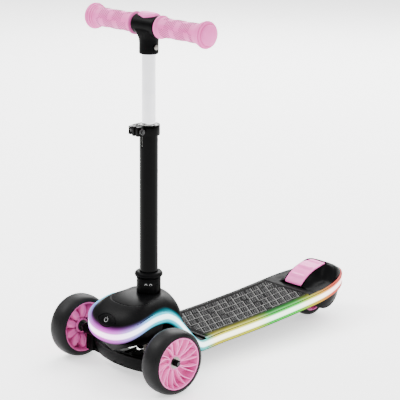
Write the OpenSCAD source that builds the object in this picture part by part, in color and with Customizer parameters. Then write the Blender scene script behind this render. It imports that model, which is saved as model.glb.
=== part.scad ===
// Child's kick scooter: two steered wheels in front, one behind, leaning T-bar, lit edge.
// Front is -Y, the rider's left is +X, up is +Z. The origin is on the ground, midway along
// the overall length. Sizes in millimetres.

/* [Overall] */
// Length over the front tyres and the tail
overall_length = 635; // [560:5:760]
// Width over the grips
handlebar_width = 320; // [270:5:384]
// Height of the handlebar axis above the ground
handlebar_z = 641; // [600:1:760]
// Distance between the middles of the front tyres
track = 262; // [240:2:315]

/* [Wheels] */
// Diameter of the front tyres
front_wheel_d = 120; // [110:2:144]
// Width of the front tyres
front_tyre_w = 42; // [35:1:46]
// Diameter of the front rims
front_rim_d = 96; // [84:1:100]
// Width of the front rims
front_rim_w = 38; // [32:1:38]
// Diameter of the rear tyre
rear_wheel_d = 80; // [68:1:90]
// Width of the rear tyre
rear_tyre_w = 32; // [27:1:38]
// Diameter of the rear rim
rear_rim_d = 58; // [50:1:62]
// Distance of the rear axle from the end of the tail
rear_axle_inset = 78; // [70:1:90]
// Number of ribs on each side of a hub
hub_ribs = 20; // [8:1:24]

/* [Bearings and axles] */
// Outer diameter of a ball bearing
bearing_d = 22; // [19:1:24]
// Width of a ball bearing
bearing_w = 7; // [5:1:8]
// Diameter of the wheel axles
axle_d = 8; // [6:0.5:9]
// Gap between the two bearings of a wheel
bearing_gap = 4; // [2:1:8]

/* [Deck] */
// Width of the deck
deck_w = 142; // [124:2:160]
// Height of the deck's lowest edge above the front axle
deck_over_axle = -6; // [-12:1:2]
// Depth of the deck's side
deck_depth = 22; // [20:1:28]
// Radius of the deck's upward sweep
deck_sweep_r = 3275; // [2750:25:6000]
// Wall of the deck
deck_wall = 3.5; // [2.5:0.5:4.5]
// Thickness of the grip mat
mat_t = 2.5; // [2:0.5:3]
// Rim left around the grip mat
mat_rim = 7; // [5:1:12]

/* [Light strip] */
// Height of the light strip
strip_h = 15; // [12:1:16]
// Thickness of the light strip
strip_t = 4; // [3:0.5:5]
// Drop of the strip's top below the deck's edge
strip_drop = 2.5; // [2:0.5:4]
// Height of the strip above the front axle, at the nose
strip_nose_rise = 27; // [22:1:34]
// Height of the strip above the front axle, over the wheel
strip_arch_rise = 61.5; // [54:0.5:66]

/* [Front housing] */
// Width of the front housing beside the wheels
housing_w = 144; // [130:2:150]
// Width of the front housing behind the wheels
hip_w = 160; // [150:2:170]
// Height of the housing's top above the front axle
housing_rise = 86; // [80:1:98]
// Wall of the front housing
housing_wall = 3; // [2.5:0.5:4]
// Nose of the housing ahead of the front axle
nose_reach = 52; // [46:1:56]

/* [Column] */
// Distance of the column behind the front axle
column_setback = 60; // [54:1:66]
// Diameter of the black outer tube
outer_tube_d = 34; // [30:0.5:37]
// Wall of the outer tube
outer_tube_wall = 2; // [1.5:0.25:2.5]
// Diameter of the chrome inner tube
inner_tube_d = 25; // [21:0.5:26]
// Wall of the inner tube
inner_tube_wall = 1.5; // [1.2:0.1:2]
// Height of the top of the outer tube
outer_tube_top = 462; // [440:1:520]
// Depth of the outer tube in its socket
socket_depth = 92; // [80:1:100]
// Height of the twist collar
lock_collar_h = 28; // [24:1:32]
// Wall of the twist collar
lock_collar_wall = 3.2; // [2.5:0.1:4]
// Height of the clamp collar
clamp_h = 19; // [16:1:24]
// Wall of the clamp collar
clamp_wall = 3.5; // [3:0.5:5]

/* [Handlebar] */
// Diameter of the steel bar
bar_d = 22; // [19:0.5:25]
// Diameter of the grips
grip_d = 34; // [30:1:38]
// Diameter of the grips' outer flanges
grip_flange_d = 48; // [40:1:52]
// Length of the middle housing between the grips
t_housing_w = 60; // [54:1:70]
// Diameter of the middle housing
t_housing_d = 38; // [34:1:42]

/* [Brake] */
// Width of the brake pedal
pedal_w = 46; // [40:1:52]
// Gap between the rear tyre and its fender
fender_gap = 6; // [5:0.5:8]
// Height of the pedal's crown above the rear tyre
pedal_rise = 31; // [29:0.5:34]
// Thickness of the pedal
pedal_t = 4.5; // [4:0.5:6]
// Wall of the fender
fender_wall = 3; // [2.5:0.5:4]

/* [Clearances] */
// Radial clearance of a running fit
run_gap = 0.05; // [0.02:0.01:0.1]
// Gap between pieces that move past each other
move_gap = 0.5; // [0.3:0.1:1]

/* [Hidden] */
$fn = 48;
eps = 0.01;

// Wheel and axle places
front_r = front_wheel_d / 2;
axle_y = -overall_length / 2 + front_r;
axle_z = front_r;
tail_y = overall_length / 2;
rear_r = rear_wheel_d / 2;
rear_y = tail_y - rear_axle_inset;
rear_z = rear_r;
axle_r = axle_d / 2;
hub_half = bearing_gap / 2 + bearing_w;
spacer_r = axle_r + 2.5;

// Deck places
deck_z = axle_z + deck_over_axle;
deck_low_back = 104;
deck_front_back = 140;
dip_back = 134;
arch_back = 34;
hip_back = 85;
deck_side_back = 200;
tail_round = 135;
deck_low_y = axle_y + deck_low_back;
deck_front_y = axle_y + deck_front_back;
tail_start_y = tail_y - tail_round;
dip_y = axle_y + dip_back;
arch_y = axle_y + arch_back;
nose_y = axle_y - nose_reach;
hip_y = axle_y + hip_back;
deck_side_y = axle_y + deck_side_back;
strip_mid_drop = strip_drop + strip_h / 2;

// Height of the deck's upper edge at a place along its length
function deck_top(y) = deck_z + pow(y - deck_low_y, 2) / (2 * deck_sweep_r);

// Smooth change from a to b as t goes from 0 to 1
function ease(a, b, t) = a + (b - a) * (1 - cos(180 * max(0, min(1, t)))) / 2;

// Height of the middle of the light strip at a place along the length
function wave(y) =
    y < arch_y
        ? axle_z + strip_nose_rise + (strip_arch_rise - strip_nose_rise)
            * pow(max(0, sin(90 * (y - nose_y) / (arch_y - nose_y))), 0.8)
        : y < dip_y
            ? ease(axle_z + strip_arch_rise, deck_top(dip_y) - strip_mid_drop,
                (y - arch_y) / (dip_y - arch_y))
            : deck_top(y) - strip_mid_drop;

// Half the width of the chassis seen from above, behind the front axle
function side_x(y, inset) =
    y < hip_y ? ease(housing_w / 2, hip_w / 2, (y - axle_y) / (hip_y - axle_y)) - inset
    : ease(hip_w / 2, deck_w / 2, (y - hip_y) / (deck_side_y - hip_y)) - inset;

// One side of the outline from the nose to the tail, set in by inset
function nose_points(inset) = [for (i = [0:14]) let (a = i * 90 / 15)
    [(housing_w / 2 - inset) * pow(sin(a), 2 / 2.6), axle_y - (nose_reach - inset) * pow(cos(a), 2 / 2.6)]];
function side_points(inset) = [for (i = [0:19]) let (y = axle_y + i * (deck_side_y - axle_y) / 19)
    [side_x(y, inset), y]];
function tail_points(inset) = [for (i = [0:14]) let (a = 90 - i * 90 / 14)
    [(deck_w / 2 - inset) * pow(sin(a), 2 / 2.1),
     tail_start_y + (tail_y - inset - tail_start_y) * pow(cos(a), 2 / 2.1)]];
function half_outline(inset) = concat(nose_points(inset), side_points(inset), tail_points(inset));
function mirrored(points) = [for (i = [len(points) - 1:-1:0]) [-points[i][0], points[i][1]]];

module outline(inset = 0) {
    right = half_outline(inset);
    polygon(concat(right, mirrored(right)));
}

// A solid between two heights that follow the length, from y0 to y1, across the full width
module between(y0, y1, bottom, top, steps = 30) {
    ys = [for (i = [0:steps]) y0 + (y1 - y0) * i / steps];
    rotate([90, 0, 90])
        linear_extrude(handlebar_width, center = true)
            polygon(concat(
                [for (i = [0:steps]) [ys[i], bottom[i]]],
                [for (i = [steps:-1:0]) [ys[i], top[i]]]));
}

// Heights of a curve offset from the deck's edge
function deck_line(y0, y1, offset, steps = 30) =
    [for (i = [0:steps]) deck_top(y0 + (y1 - y0) * i / steps) + offset];
function wave_line(y0, y1, offset, steps = 30) =
    [for (i = [0:steps]) wave(y0 + (y1 - y0) * i / steps) + offset];

// A cylinder along X between two places
module x_rod(x0, x1, r) {
    translate([x0, 0, 0]) rotate([0, 90, 0]) cylinder(h = x1 - x0, r = r);
}

// A ring about the X axis
module x_ring(x0, x1, r_out, r_in) {
    difference() {
        x_rod(x0, x1, r_out);
        x_rod(x0 - 1, x1 + 1, r_in);
    }
}

// ---------------------------------------------------------------- front housing
housing_top = axle_z + housing_rise;
column_y = axle_y + column_setback;
tube_r = outer_tube_d / 2;
socket_wall = 2.2;
socket_in = tube_r + run_gap;
socket_out = socket_in + socket_wall;
collar_out = socket_out + run_gap + lock_collar_wall;
collar_z = housing_top + move_gap;
flange_z = collar_z + lock_collar_h + move_gap;
base_t = 3;
base_z = axle_z + 16;
tube_foot_z = flange_z - socket_depth;
hood_z = axle_z + strip_nose_rise + strip_h / 2;
crown_r = collar_out + 5;
board_t = 1.2;
lip_t = 2;
skirt_t = 2.5;
skirt_in = strip_t + board_t;

// Lens shape of the mode button, seen square on
button_w = 46;
button_h = 22;
bezel_wall = 2.5;
button_tilt = 59;
button_y = axle_y - 41;
button_z = axle_z + 53;
button_gap = 0.4;
bezel_depth = 3.5;

module lens(w, h) {
    r = (w * w + h * h) / (4 * h);
    intersection() {
        translate([0, r - h / 2]) circle(r, $fn = 96);
        translate([0, h / 2 - r]) circle(r, $fn = 96);
    }
}

module at_button() {
    translate([0, button_y, button_z]) rotate([button_tilt, 0, 0]) children();
}

// Opening that takes the button and its bezel, through the dome and the edge of the base
module button_hole() {
    at_button() translate([0, 0, -button_w / 2])
        linear_extrude(button_w)
            lens(button_w + 2 * (bezel_wall + fit_gap), button_h + 2 * (bezel_wall + fit_gap));
}

// Level slice of the dome; t runs from 0 at the hood line to 1 at the crown. Ahead of the
// column it is the chassis outline drawn in towards the column, and behind it a rounded end.
shoulder = 0.38;
hood_front = 0.965;
hood_rear = 42;
front_reach = column_setback + nose_reach;

function dome_points(t, inset) =
    let (c = cos(90 * t),
        kx = shoulder + (1 - shoulder) * max(0, c),
        kf = crown_r / front_reach + (hood_front - crown_r / front_reach) * c,
        half = side_x(column_y, inset) * kx,
        rear = crown_r + (hood_rear - crown_r) * pow(max(0, c), 1.5) - inset)
    concat(
        [for (p = half_outline(inset)) if (p[1] < column_y - 1)
            [p[0] * kx, column_y + (p[1] - column_y) * kf]],
        [for (b = [0:15:90]) [half * pow(cos(b), 2 / 2.2), column_y + rear * pow(sin(b), 2 / 2.2)]]);

module dome_slice(t, inset) {
    right = dome_points(t, inset);
    translate([0, 0, hood_z + (housing_top - inset - hood_z) * sin(90 * t) - eps])
        linear_extrude(eps) polygon(concat(right, mirrored(right)));
}

module front_outline(inset, rear_y_end) {
    intersection() {
        outline(inset);
        translate([-hip_w, nose_y]) square([2 * hip_w, rear_y_end - nose_y]);
    }
}

// The dome's solid form down to the deck, as a stack of slices from the foot to the crown
dome_steps = [0, 0.15, 0.3, 0.45, 0.6, 0.75, 0.9, 1];

module dome_form(inset) {
    hull() {
        translate([0, 0, deck_z - deck_depth + inset])
            linear_extrude(eps) front_outline(inset, deck_front_y - inset);
        dome_slice(0, inset);
    }
    for (i = [0:len(dome_steps) - 2]) hull() {
        dome_slice(dome_steps[i], inset);
        dome_slice(dome_steps[i + 1], inset);
    }
}

module front_housing() {
    color([0.05, 0.05, 0.055])
    difference() {
        dome_form(0);
        dome_form(housing_wall);
        between(nose_y - 1, deck_front_y + 1,
            [for (i = [0:30]) 0], wave_line(nose_y - 1, deck_front_y + 1, strip_h / 2));
        translate([0, column_y, hood_z]) cylinder(h = housing_rise, r = socket_out + fit_gap);
        button_hole();
    }
}

module button_bezel() {
    color([0.03, 0.03, 0.03])
    at_button() translate([0, 0, -bezel_depth])
        linear_extrude(bezel_depth + 1.5)
            difference() {
                lens(button_w + 2 * bezel_wall, button_h + 2 * bezel_wall);
                lens(button_w, button_h);
            }
}

module mode_button() {
    color([0.1, 0.1, 0.11])
    at_button() translate([0, 0, -4])
        linear_extrude(6) lens(button_w - 2 * button_gap, button_h - 2 * button_gap);
}

module button_spring() {
    color("silver")
    at_button() translate([0, 0, -9.7])
        difference() {
            cylinder(h = 5.5, r = 3);
            translate([0, 0, -1]) cylinder(h = 8, r = 2);
        }
}

// Ring between two insets of the outline, cut to a band around the light strip
module strip_band(inset_out, inset_in, low, high, y0, y1) {
    intersection() {
        linear_extrude(handlebar_z) difference() {
            outline(inset_out);
            outline(inset_in);
        }
        between(y0, y1, wave_line(y0, y1, low), wave_line(y0, y1, high));
    }
}

module front_light() {
    color([0.95, 0.7, 1])
    strip_band(0, strip_t, -strip_h / 2, strip_h / 2, nose_y - 1, deck_front_y);
}

module deck_light() {
    color([0.8, 1, 0.85])
    strip_band(0, strip_t, -strip_h / 2, strip_h / 2, deck_front_y, tail_y + 1);
}

// The half of its children on one side of the middle plane
module half_of(side) {
    intersection() {
        children();
        translate([side > 0 ? 0 : -hip_w, nose_y - 1, 0])
            cube([hip_w, overall_length, handlebar_z]);
    }
}

module left_light() half_of(1) deck_light();
module right_light() half_of(-1) deck_light();

module light_boards() {
    color([0.9, 0.9, 0.85]) {
        strip_band(strip_t, strip_t + board_t, -4, 4, nose_y - 1, deck_front_y);
        strip_band(strip_t, strip_t + board_t, -4, 4, deck_front_y, tail_y + 1);
    }
}

// ---------------------------------------------------------------- steering pivot
pivot_y = axle_y + 40;
pivot_z = axle_z - 4;
pivot_tilt = 40;
pivot_r = 6;
pivot_boss_r = 14;
pivot_boss_h = 24;
pivot_seat_h = 16;

module at_pivot() {
    translate([0, pivot_y, pivot_z]) rotate([pivot_tilt, 0, 0]) children();
}

// ---------------------------------------------------------------- housing base
spring_x = 52;
spring_y = axle_y + 8;
spring_r = 6;
pivot_room = 42;
box_front_y = pivot_y + pivot_room;
box_half = hip_w / 2 - 12;
pivot_tail = 12;
ledge_y = dip_y - 40;

module housing_base() {
    color([0.04, 0.04, 0.045])
    difference() {
        union() {
            intersection() {
                linear_extrude(handlebar_z) front_outline(skirt_in, deck_front_y);
                between(ledge_y, deck_front_y,
                    wave_line(ledge_y, deck_front_y, strip_h / 2 - fit_gap - base_t),
                    wave_line(ledge_y, deck_front_y, strip_h / 2 - fit_gap));
            }
            housing_box();
        }
        at_pivot() translate([0, 0, -pivot_boss_h]) cylinder(h = 3 * pivot_boss_h, r = pivot_r);
        button_hole();
    }
}

// The base plate with the box behind the pivot, the skirt behind the strip and the spring seats
module housing_box() {
    difference() {
        union() {
            intersection() {
                union() {
                    translate([0, 0, base_z])
                        linear_extrude(base_t) front_outline(skirt_in, deck_front_y);
                    translate([-box_half, box_front_y, deck_z - deck_depth])
                        cube([2 * box_half, deck_front_y - box_front_y, base_z - deck_z + deck_depth]);
                }
                between(nose_y - 1, deck_front_y, [for (i = [0:30]) 0],
                    wave_line(nose_y - 1, deck_front_y, strip_h / 2 - fit_gap));
            }
            intersection() {
                at_pivot() translate([0, 0, pivot_boss_h / 2 + move_gap])
                    cylinder(h = pivot_seat_h, r = pivot_boss_r + 3);
                translate([-hip_w, nose_y, 0]) cube([2 * hip_w, overall_length, base_z + base_t / 2]);
            }
            strip_band(skirt_in, skirt_in + skirt_t, -strip_h / 2 - lip_t, strip_h / 2 - fit_gap,
                nose_y - 1, deck_front_y);
            strip_band(0.5, skirt_in + skirt_t, -strip_h / 2 - lip_t, -strip_h / 2,
                nose_y - 1, deck_front_y);
            for (side = [-1, 1])
                translate([side * spring_x, spring_y, base_z - 3]) cylinder(h = 4, r = spring_r + 2);
        }
        translate([-box_half + housing_wall, box_front_y + housing_wall, deck_z - deck_depth + housing_wall])
            cube([2 * (box_half - housing_wall), deck_front_y - box_front_y - 2 * housing_wall,
                base_z - deck_z + deck_depth - housing_wall]);
    }
}

module pivot_pin() {
    color("silver")
    at_pivot() {
        translate([0, 0, -pivot_boss_h / 2 - pivot_tail])
            cylinder(h = pivot_boss_h + pivot_tail + pivot_seat_h, r = pivot_r);
    }
}

module pivot_nut() {
    color("silver")
    at_pivot() translate([0, 0, -pivot_boss_h / 2 - move_gap - 7])
        difference() {
            cylinder(h = 7, r = pivot_r + 4, $fn = 6);
            translate([0, 0, -1]) cylinder(h = 9, r = pivot_r, $fn = 48);
        }
}

module column_socket() {
    color([0.08, 0.08, 0.09])
    difference() {
        union() {
            translate([0, column_y, base_z + base_t]) cylinder(h = 4, r = socket_out + 9);
            translate([0, column_y, base_z + base_t])
                cylinder(h = flange_z - move_gap - base_z - base_t, r = socket_out);
        }
        translate([0, column_y, tube_foot_z]) cylinder(h = flange_z, r = socket_in);
        for (a = [45:90:315]) translate([0, column_y, 0]) rotate(a)
            translate([socket_out + 5, 0, 0]) cylinder(h = handlebar_z / 2, r = 1.6);
    }
}

module housing_screws() {
    color("silver")
    for (a = [45:90:315]) translate([0, column_y, base_z + base_t]) rotate(a)
        translate([socket_out + 5, 0, 0]) {
            cylinder(h = 4, r = 1.6);
            translate([0, 0, 4]) cylinder(h = 2, r = 3.2);
        }
}

module control_board() {
    color([0.1, 0.4, 0.2])
    translate([-20, axle_y - 20, base_z + base_t]) cube([40, 28, 6]);
}

// ---------------------------------------------------------------- axle beam
beam_low = axle_z - 41;
beam_high = axle_z - 14;
beam_front_y = axle_y - 22;
beam_arc_r = 210;
beam_inner_r = 200;
beam_depth = 14;
beam_half = track / 2 - 28;
beam_plate_t = 6;
upright_w = 20;
axle_boss_r = 11;
beam_end = beam_half + 4;
spring_z = axle_z - 10;

module axle_beam() {
    color([0.05, 0.05, 0.055])
    difference() {
        union() {
            intersection() {
                translate([0, beam_front_y + beam_arc_r, beam_low])
                    cylinder(h = beam_high - beam_low, r1 = beam_arc_r - 8, r2 = beam_arc_r, $fn = 180);
                difference() {
                    translate([-beam_half, beam_front_y - 1, beam_low])
                        cube([2 * beam_half, 60, beam_high - beam_low]);
                    translate([0, beam_front_y + beam_depth + beam_inner_r, beam_low - 1])
                        cylinder(h = front_wheel_d, r = beam_inner_r, $fn = 180);
                }
            }
            translate([0, 0, beam_low + 2]) linear_extrude(beam_plate_t)
                polygon([[-beam_half, axle_y - 2], [0, beam_front_y + 12], [beam_half, axle_y - 2],
                    [beam_half, axle_y + 18], [18, pivot_y + 12], [-18, pivot_y + 12],
                    [-beam_half, axle_y + 18]]);
            for (side = [-1, 1]) {
                translate([side * (beam_half - upright_w / 2) - upright_w / 2, axle_y - 6, beam_low + 2])
                    cube([upright_w, 18, axle_z - beam_low - 2]);
                translate([0, axle_y, axle_z]) mirror([side < 0 ? 1 : 0, 0, 0])
                    x_rod(beam_half - upright_w, beam_end, axle_boss_r);
                translate([side * spring_x, spring_y, beam_low + 2])
                    cylinder(h = spring_z - beam_low - 2, r = spring_r + 2);
                translate([side * 9 - 2.5, beam_front_y + 6, beam_low + 2])
                    cube([5, pivot_y - beam_front_y - 6, beam_plate_t + 12]);
            }
            at_pivot() translate([0, 0, -pivot_boss_h / 2]) cylinder(h = pivot_boss_h, r = pivot_boss_r);
        }
        at_pivot() {
            translate([0, 0, -3 * pivot_boss_h]) cylinder(h = 6 * pivot_boss_h, r = pivot_r + run_gap);
            translate([0, 0, pivot_boss_h / 2]) cylinder(h = 60, r = pivot_boss_r + 5);
            translate([0, 0, -pivot_boss_h / 2 - 60]) cylinder(h = 60, r = pivot_boss_r + 3);
        }
        for (side = [-1, 1]) translate([0, axle_y, axle_z]) mirror([side < 0 ? 1 : 0, 0, 0])
            x_rod(beam_half - upright_w - 1, beam_end + 1, axle_r);
    }
}

module centring_springs() {
    color("silver")
    for (side = [-1, 1]) translate([side * spring_x, spring_y, spring_z + 0.2])
        difference() {
            cylinder(h = base_z - 3 - spring_z - 0.4, r = spring_r);
            translate([0, 0, -1]) cylinder(h = base_z, r = spring_r - 2);
        }
}

// ---------------------------------------------------------------- front wheels
module at_left_wheel() {
    translate([track / 2, axle_y, axle_z]) children();
}
module at_right_wheel() {
    translate([-track / 2, axle_y, axle_z]) mirror([1, 0, 0]) children();
}

nut_h = 6.5;
bearing_r = bearing_d / 2;
tyre_corner = 11;

// Axle with the shoulder that spaces the wheel off the beam; the wheel's middle is at x = 0
module front_axle() {
    color("silver") {
        x_rod(beam_half - upright_w - track / 2, hub_half + nut_h + 3, axle_r);
        x_ring(beam_end - track / 2, -hub_half - 0.3, spacer_r, axle_r);
    }
}

module axle_nut() {
    difference() {
        translate([hub_half + 0.5, 0, 0]) rotate([0, 90, 0]) cylinder(h = nut_h, r = 7, $fn = 6);
        x_rod(hub_half - 1, hub_half + nut_h + 4, axle_r);
    }
}

// Tyre with rounded shoulders
module tyre(r_out, r_in, w, corner) {
    color([0.03, 0.03, 0.03])
    rotate([0, 90, 0])
        rotate_extrude($fn = 120)
            intersection() {
                union() {
                    translate([r_in, -w / 2 + corner]) square([r_out - r_in, w - 2 * corner]);
                    for (s = [-1, 1])
                        translate([r_out - corner, s * (w / 2 - corner)]) circle(corner, $fn = 48);
                }
                translate([r_in, -w / 2]) square([r_out - r_in, w]);
            }
}

// Spoked hub: rim ring, middle web, ribs on both faces and a boss for two bearings
module hub(r_rim, w, ribs, rim_wall, rib_h) {
    color([1, 0.55, 0.8])
    difference() {
        union() {
            x_ring(-w / 2, w / 2, r_rim, r_rim - rim_wall);
            x_rod(-1.5, 1.5, r_rim - rim_wall / 2);
            x_rod(-hub_half, hub_half, bearing_r + 3);
            for (i = [0:ribs - 1]) rotate([i * 360 / ribs, 0, 0])
                translate([-rib_h, -0.8, bearing_r + 1])
                    cube([2 * rib_h, 1.6, r_rim - rim_wall / 2 - bearing_r - 1]);
        }
        x_rod(-hub_half - 1, hub_half + 1, bearing_r - 2);
        x_rod(-hub_half - 1, -bearing_gap / 2, bearing_r);
        x_rod(bearing_gap / 2, hub_half + 1, bearing_r);
    }
}

module bearings() {
    color("silver")
    for (x = [-hub_half, bearing_gap / 2])
        x_ring(x, x + bearing_w, bearing_r, axle_r + run_gap);
}

rim_wall = 4;
front_rib_h = 8;

module left_axle() at_left_wheel() front_axle();
module right_axle() at_right_wheel() front_axle();
module axle_nuts() {
    color([0.05, 0.05, 0.05]) {
        at_left_wheel() axle_nut();
        at_right_wheel() axle_nut();
    }
}
module left_tyre() at_left_wheel() tyre(front_r, front_rim_d / 2, front_tyre_w, tyre_corner);
module right_tyre() at_right_wheel() tyre(front_r, front_rim_d / 2, front_tyre_w, tyre_corner);
module left_hub() at_left_wheel() hub(front_rim_d / 2, front_rim_w, hub_ribs, rim_wall, front_rib_h);
module right_hub() at_right_wheel() hub(front_rim_d / 2, front_rim_w, hub_ribs, rim_wall, front_rib_h);
module left_bearings() at_left_wheel() bearings();
module right_bearings() at_right_wheel() bearings();

// ---------------------------------------------------------------- rear wheel
module at_rear_wheel() {
    translate([0, rear_y, rear_z]) children();
}

rear_rib_h = 6;
lug_gap = 3;
lug_t = 6;
lug_x = rear_tyre_w / 2 + lug_gap;

module rear_tyre() at_rear_wheel() tyre(rear_r, rear_rim_d / 2, rear_tyre_w, 8);
module rear_hub() at_rear_wheel() hub(rear_rim_d / 2, rear_tyre_w - 4, 8, 3, rear_rib_h);
module rear_bearings() at_rear_wheel() bearings();

module rear_axle() {
    color("silver")
    at_rear_wheel() {
        x_rod(-lug_x - lug_t - nut_h - 1, lug_x + lug_t + nut_h + 1, axle_r);
        for (side = [0, 1]) mirror([side, 0, 0]) x_ring(hub_half + 0.3, lug_x, spacer_r, axle_r);
    }
}

module rear_nuts() {
    color("silver")
    at_rear_wheel() for (side = [0, 1]) mirror([side, 0, 0])
        difference() {
            translate([lug_x + lug_t, 0, 0]) rotate([0, 90, 0]) cylinder(h = nut_h, r = 7, $fn = 6);
            x_rod(lug_x, lug_x + lug_t + nut_h + 2, axle_r);
        }
}

// ---------------------------------------------------------------- deck
well_half = lug_x;
well_reach = rear_r + fender_gap + 2;
cavity_y0 = deck_front_y + 8;
cavity_y1 = rear_y - well_reach - 8;
cavity_inset = 10;
skin = deck_wall + mat_t;
plate_t = 3;
fit_gap = 0.3;
screw_head_h = 1.4;
screw_r = 1.6;
lug_foot = 24;
mat_y0 = deck_front_y + 6;
pedal_y = rear_y + 18.5;
pedal_front_y = rear_y - 48;
pedal_rear_y = rear_y + 30.5;
mat_y1 = pedal_front_y - 14;
tail_reach = 50;
tail_drop = 24;
rib_gap = 40;
rib_y0 = cavity_y0 + 92;
battery = [62, 52, 11];
battery_y = cavity_y0 + 16;
door = [70, 64];
door_y = cavity_y0 + 10;

module cut_outline(inset, y0, y1) {
    intersection() {
        outline(inset);
        translate([-hip_w, y0]) square([2 * hip_w, y1 - y0]);
    }
}

// Part of the deck: an inset outline from y0 to y1, between two drops below the deck's edge
module deck_slab(inset, y0, y1, drop_low, drop_high) {
    intersection() {
        linear_extrude(handlebar_z / 2) cut_outline(inset, y0, y1);
        between(y0, y1, deck_line(y0, y1, -drop_low), deck_line(y0, y1, -drop_high));
    }
}

module deck_body() {
    color([0.05, 0.05, 0.055])
    difference() {
        union() {
            difference() {
                deck_slab(0, deck_front_y, tail_y, deck_depth, 0);
                deck_slab(mat_rim, mat_y0, mat_y1, mat_t, -5);
                deck_slab(cavity_inset, cavity_y0, cavity_y1, deck_depth + 5, skin);
                strip_band(-1, skirt_in, -strip_h / 2, strip_h / 2, deck_front_y - 1, tail_y + 2);
            }
            for (y = [rib_y0:rib_gap:cavity_y1 - 8])
                translate([0, y, 0]) deck_rib(y);
            for (side = [-1, 1]) hull() {
                translate([side * (lug_x + lug_t / 2) - lug_t / 2, rear_y, rear_z])
                    rotate([0, 90, 0]) cylinder(h = lug_t, r = 11, $fn = 32);
                translate([side * (lug_x + lug_t / 2) - lug_t / 2, rear_y - lug_foot,
                    deck_top(rear_y) - deck_depth])
                    cube([lug_t, 2 * lug_foot, 4]);
            }
            tail_wall();
        }
        translate([-well_half, rear_y - well_reach, 0])
            cube([2 * well_half, 2 * well_reach, handlebar_z / 2]);
        at_rear_wheel() x_rod(-lug_x - lug_t - 1, lug_x + lug_t + 1, axle_r);
        for (p = deck_screw_places) translate([p[0], p[1], 0])
            cylinder(h = deck_top(p[1]) - skin - 2, r = screw_r);
    }
}

// Side walls that hang beside the rear wheel, deepest at the axle
module tail_wall() {
    y0 = rear_y - tail_reach;
    y1 = rear_y + tail_reach;
    low = [for (i = [0:30]) let (y = y0 + (y1 - y0) * i / 30)
        deck_top(y) - deck_depth - tail_drop * pow(max(0, cos(90 * (y - rear_y) / tail_reach)), 0.6)];
    intersection() {
        linear_extrude(handlebar_z) difference() {
            cut_outline(skirt_in + 1, y0, y1);
            outline(skirt_in + 1 + deck_wall);
        }
        between(y0, y1, low, deck_line(y0, y1, 2 - deck_depth));
    }
}

// Cross rib under the deck's skin, down to the bottom plate
module deck_rib(y) {
    half = deck_w / 2 - cavity_inset;
    translate([-half, 0, deck_top(y) - deck_depth + plate_t + 1])
        cube([2 * half, 3, deck_depth - plate_t - skin]);
}

deck_screw_places = [for (i = [0, 2, 4], side = [-1, 1])
    [side * (deck_w / 2 - 20), rib_y0 + i * rib_gap + 1.5]];

module deck_bottom() {
    color([0.06, 0.06, 0.065])
    difference() {
        deck_slab(cavity_inset + fit_gap, cavity_y0 + fit_gap, cavity_y1 - fit_gap,
            deck_depth, deck_depth - plate_t);
        translate([-door[0] / 2 - fit_gap, door_y - fit_gap, 0])
            cube([door[0] + 2 * fit_gap, door[1] + 2 * fit_gap, deck_z]);
        for (p = deck_screw_places) translate([p[0], p[1], 0]) cylinder(h = deck_top(p[1]), r = screw_r);
    }
}

module deck_screws() {
    color("silver")
    for (p = deck_screw_places) translate([p[0], p[1], deck_top(p[1]) - deck_depth - screw_head_h - 0.4]) {
        cylinder(h = 10, r = screw_r);
        cylinder(h = screw_head_h, r = 2 * screw_r);
    }
}

module battery_door() {
    color([0.07, 0.07, 0.075])
    intersection() {
        between(door_y, door_y + door[1],
            deck_line(door_y, door_y + door[1], -deck_depth),
            deck_line(door_y, door_y + door[1], plate_t - deck_depth));
        translate([-door[0] / 2, door_y, 0]) cube([door[0], door[1], deck_z]);
    }
}

module battery_pack() {
    color([0.2, 0.3, 0.6])
    translate([-battery[0] / 2, battery_y, deck_top(battery_y) - skin - battery[2] - 0.5])
        cube(battery);
}

module grip_mat() {
    color([0.03, 0.03, 0.03])
    deck_slab(mat_rim + fit_gap, mat_y0 + fit_gap, mat_y1 - fit_gap, mat_t, -0.5);
}

// ---------------------------------------------------------------- fender and brake
pedal_r = 88;
pedal_z = rear_wheel_d + pedal_rise - pedal_r;
hump_y = pedal_rear_y + 4;
hump_z = pedal_z + pedal_r - 9;
hump_flat = 8;
arch_in = rear_r + fender_gap;
arch_out = arch_in + fender_wall;
cheek_in = pedal_w / 2 + 0.8;
cheek_out = cheek_in + 6;
pin_r = 2.5;
pin_y = rear_y - 39;
pin_z = rear_z + 38;
lug_r = 4;
shoe_half = 9;
shoe_y = rear_y + 3;
shoe_len = 14;
shoe_clear = 4.5;
brake_spring_y = rear_y + 20;
brake_spring_r = 4;
brake_spring_z = rear_z + sqrt(pow(arch_out, 2) - pow(brake_spring_y - rear_y, 2)) + 1.6;
brake_spring_top = pedal_z - 0.4
    + sqrt(pow(pedal_r - pedal_t, 2) - pow(brake_spring_y + brake_spring_r - pedal_y, 2));

// The fender lies on the deck's skin with this much air
lay_gap = 0.02;

// Solid above the deck's edge, for trimming the fender to the deck
module above_deck(y0, y1) {
    between(y0, y1, deck_line(y0, y1, lay_gap), [for (i = [0:30]) handlebar_z / 2]);
}

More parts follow.
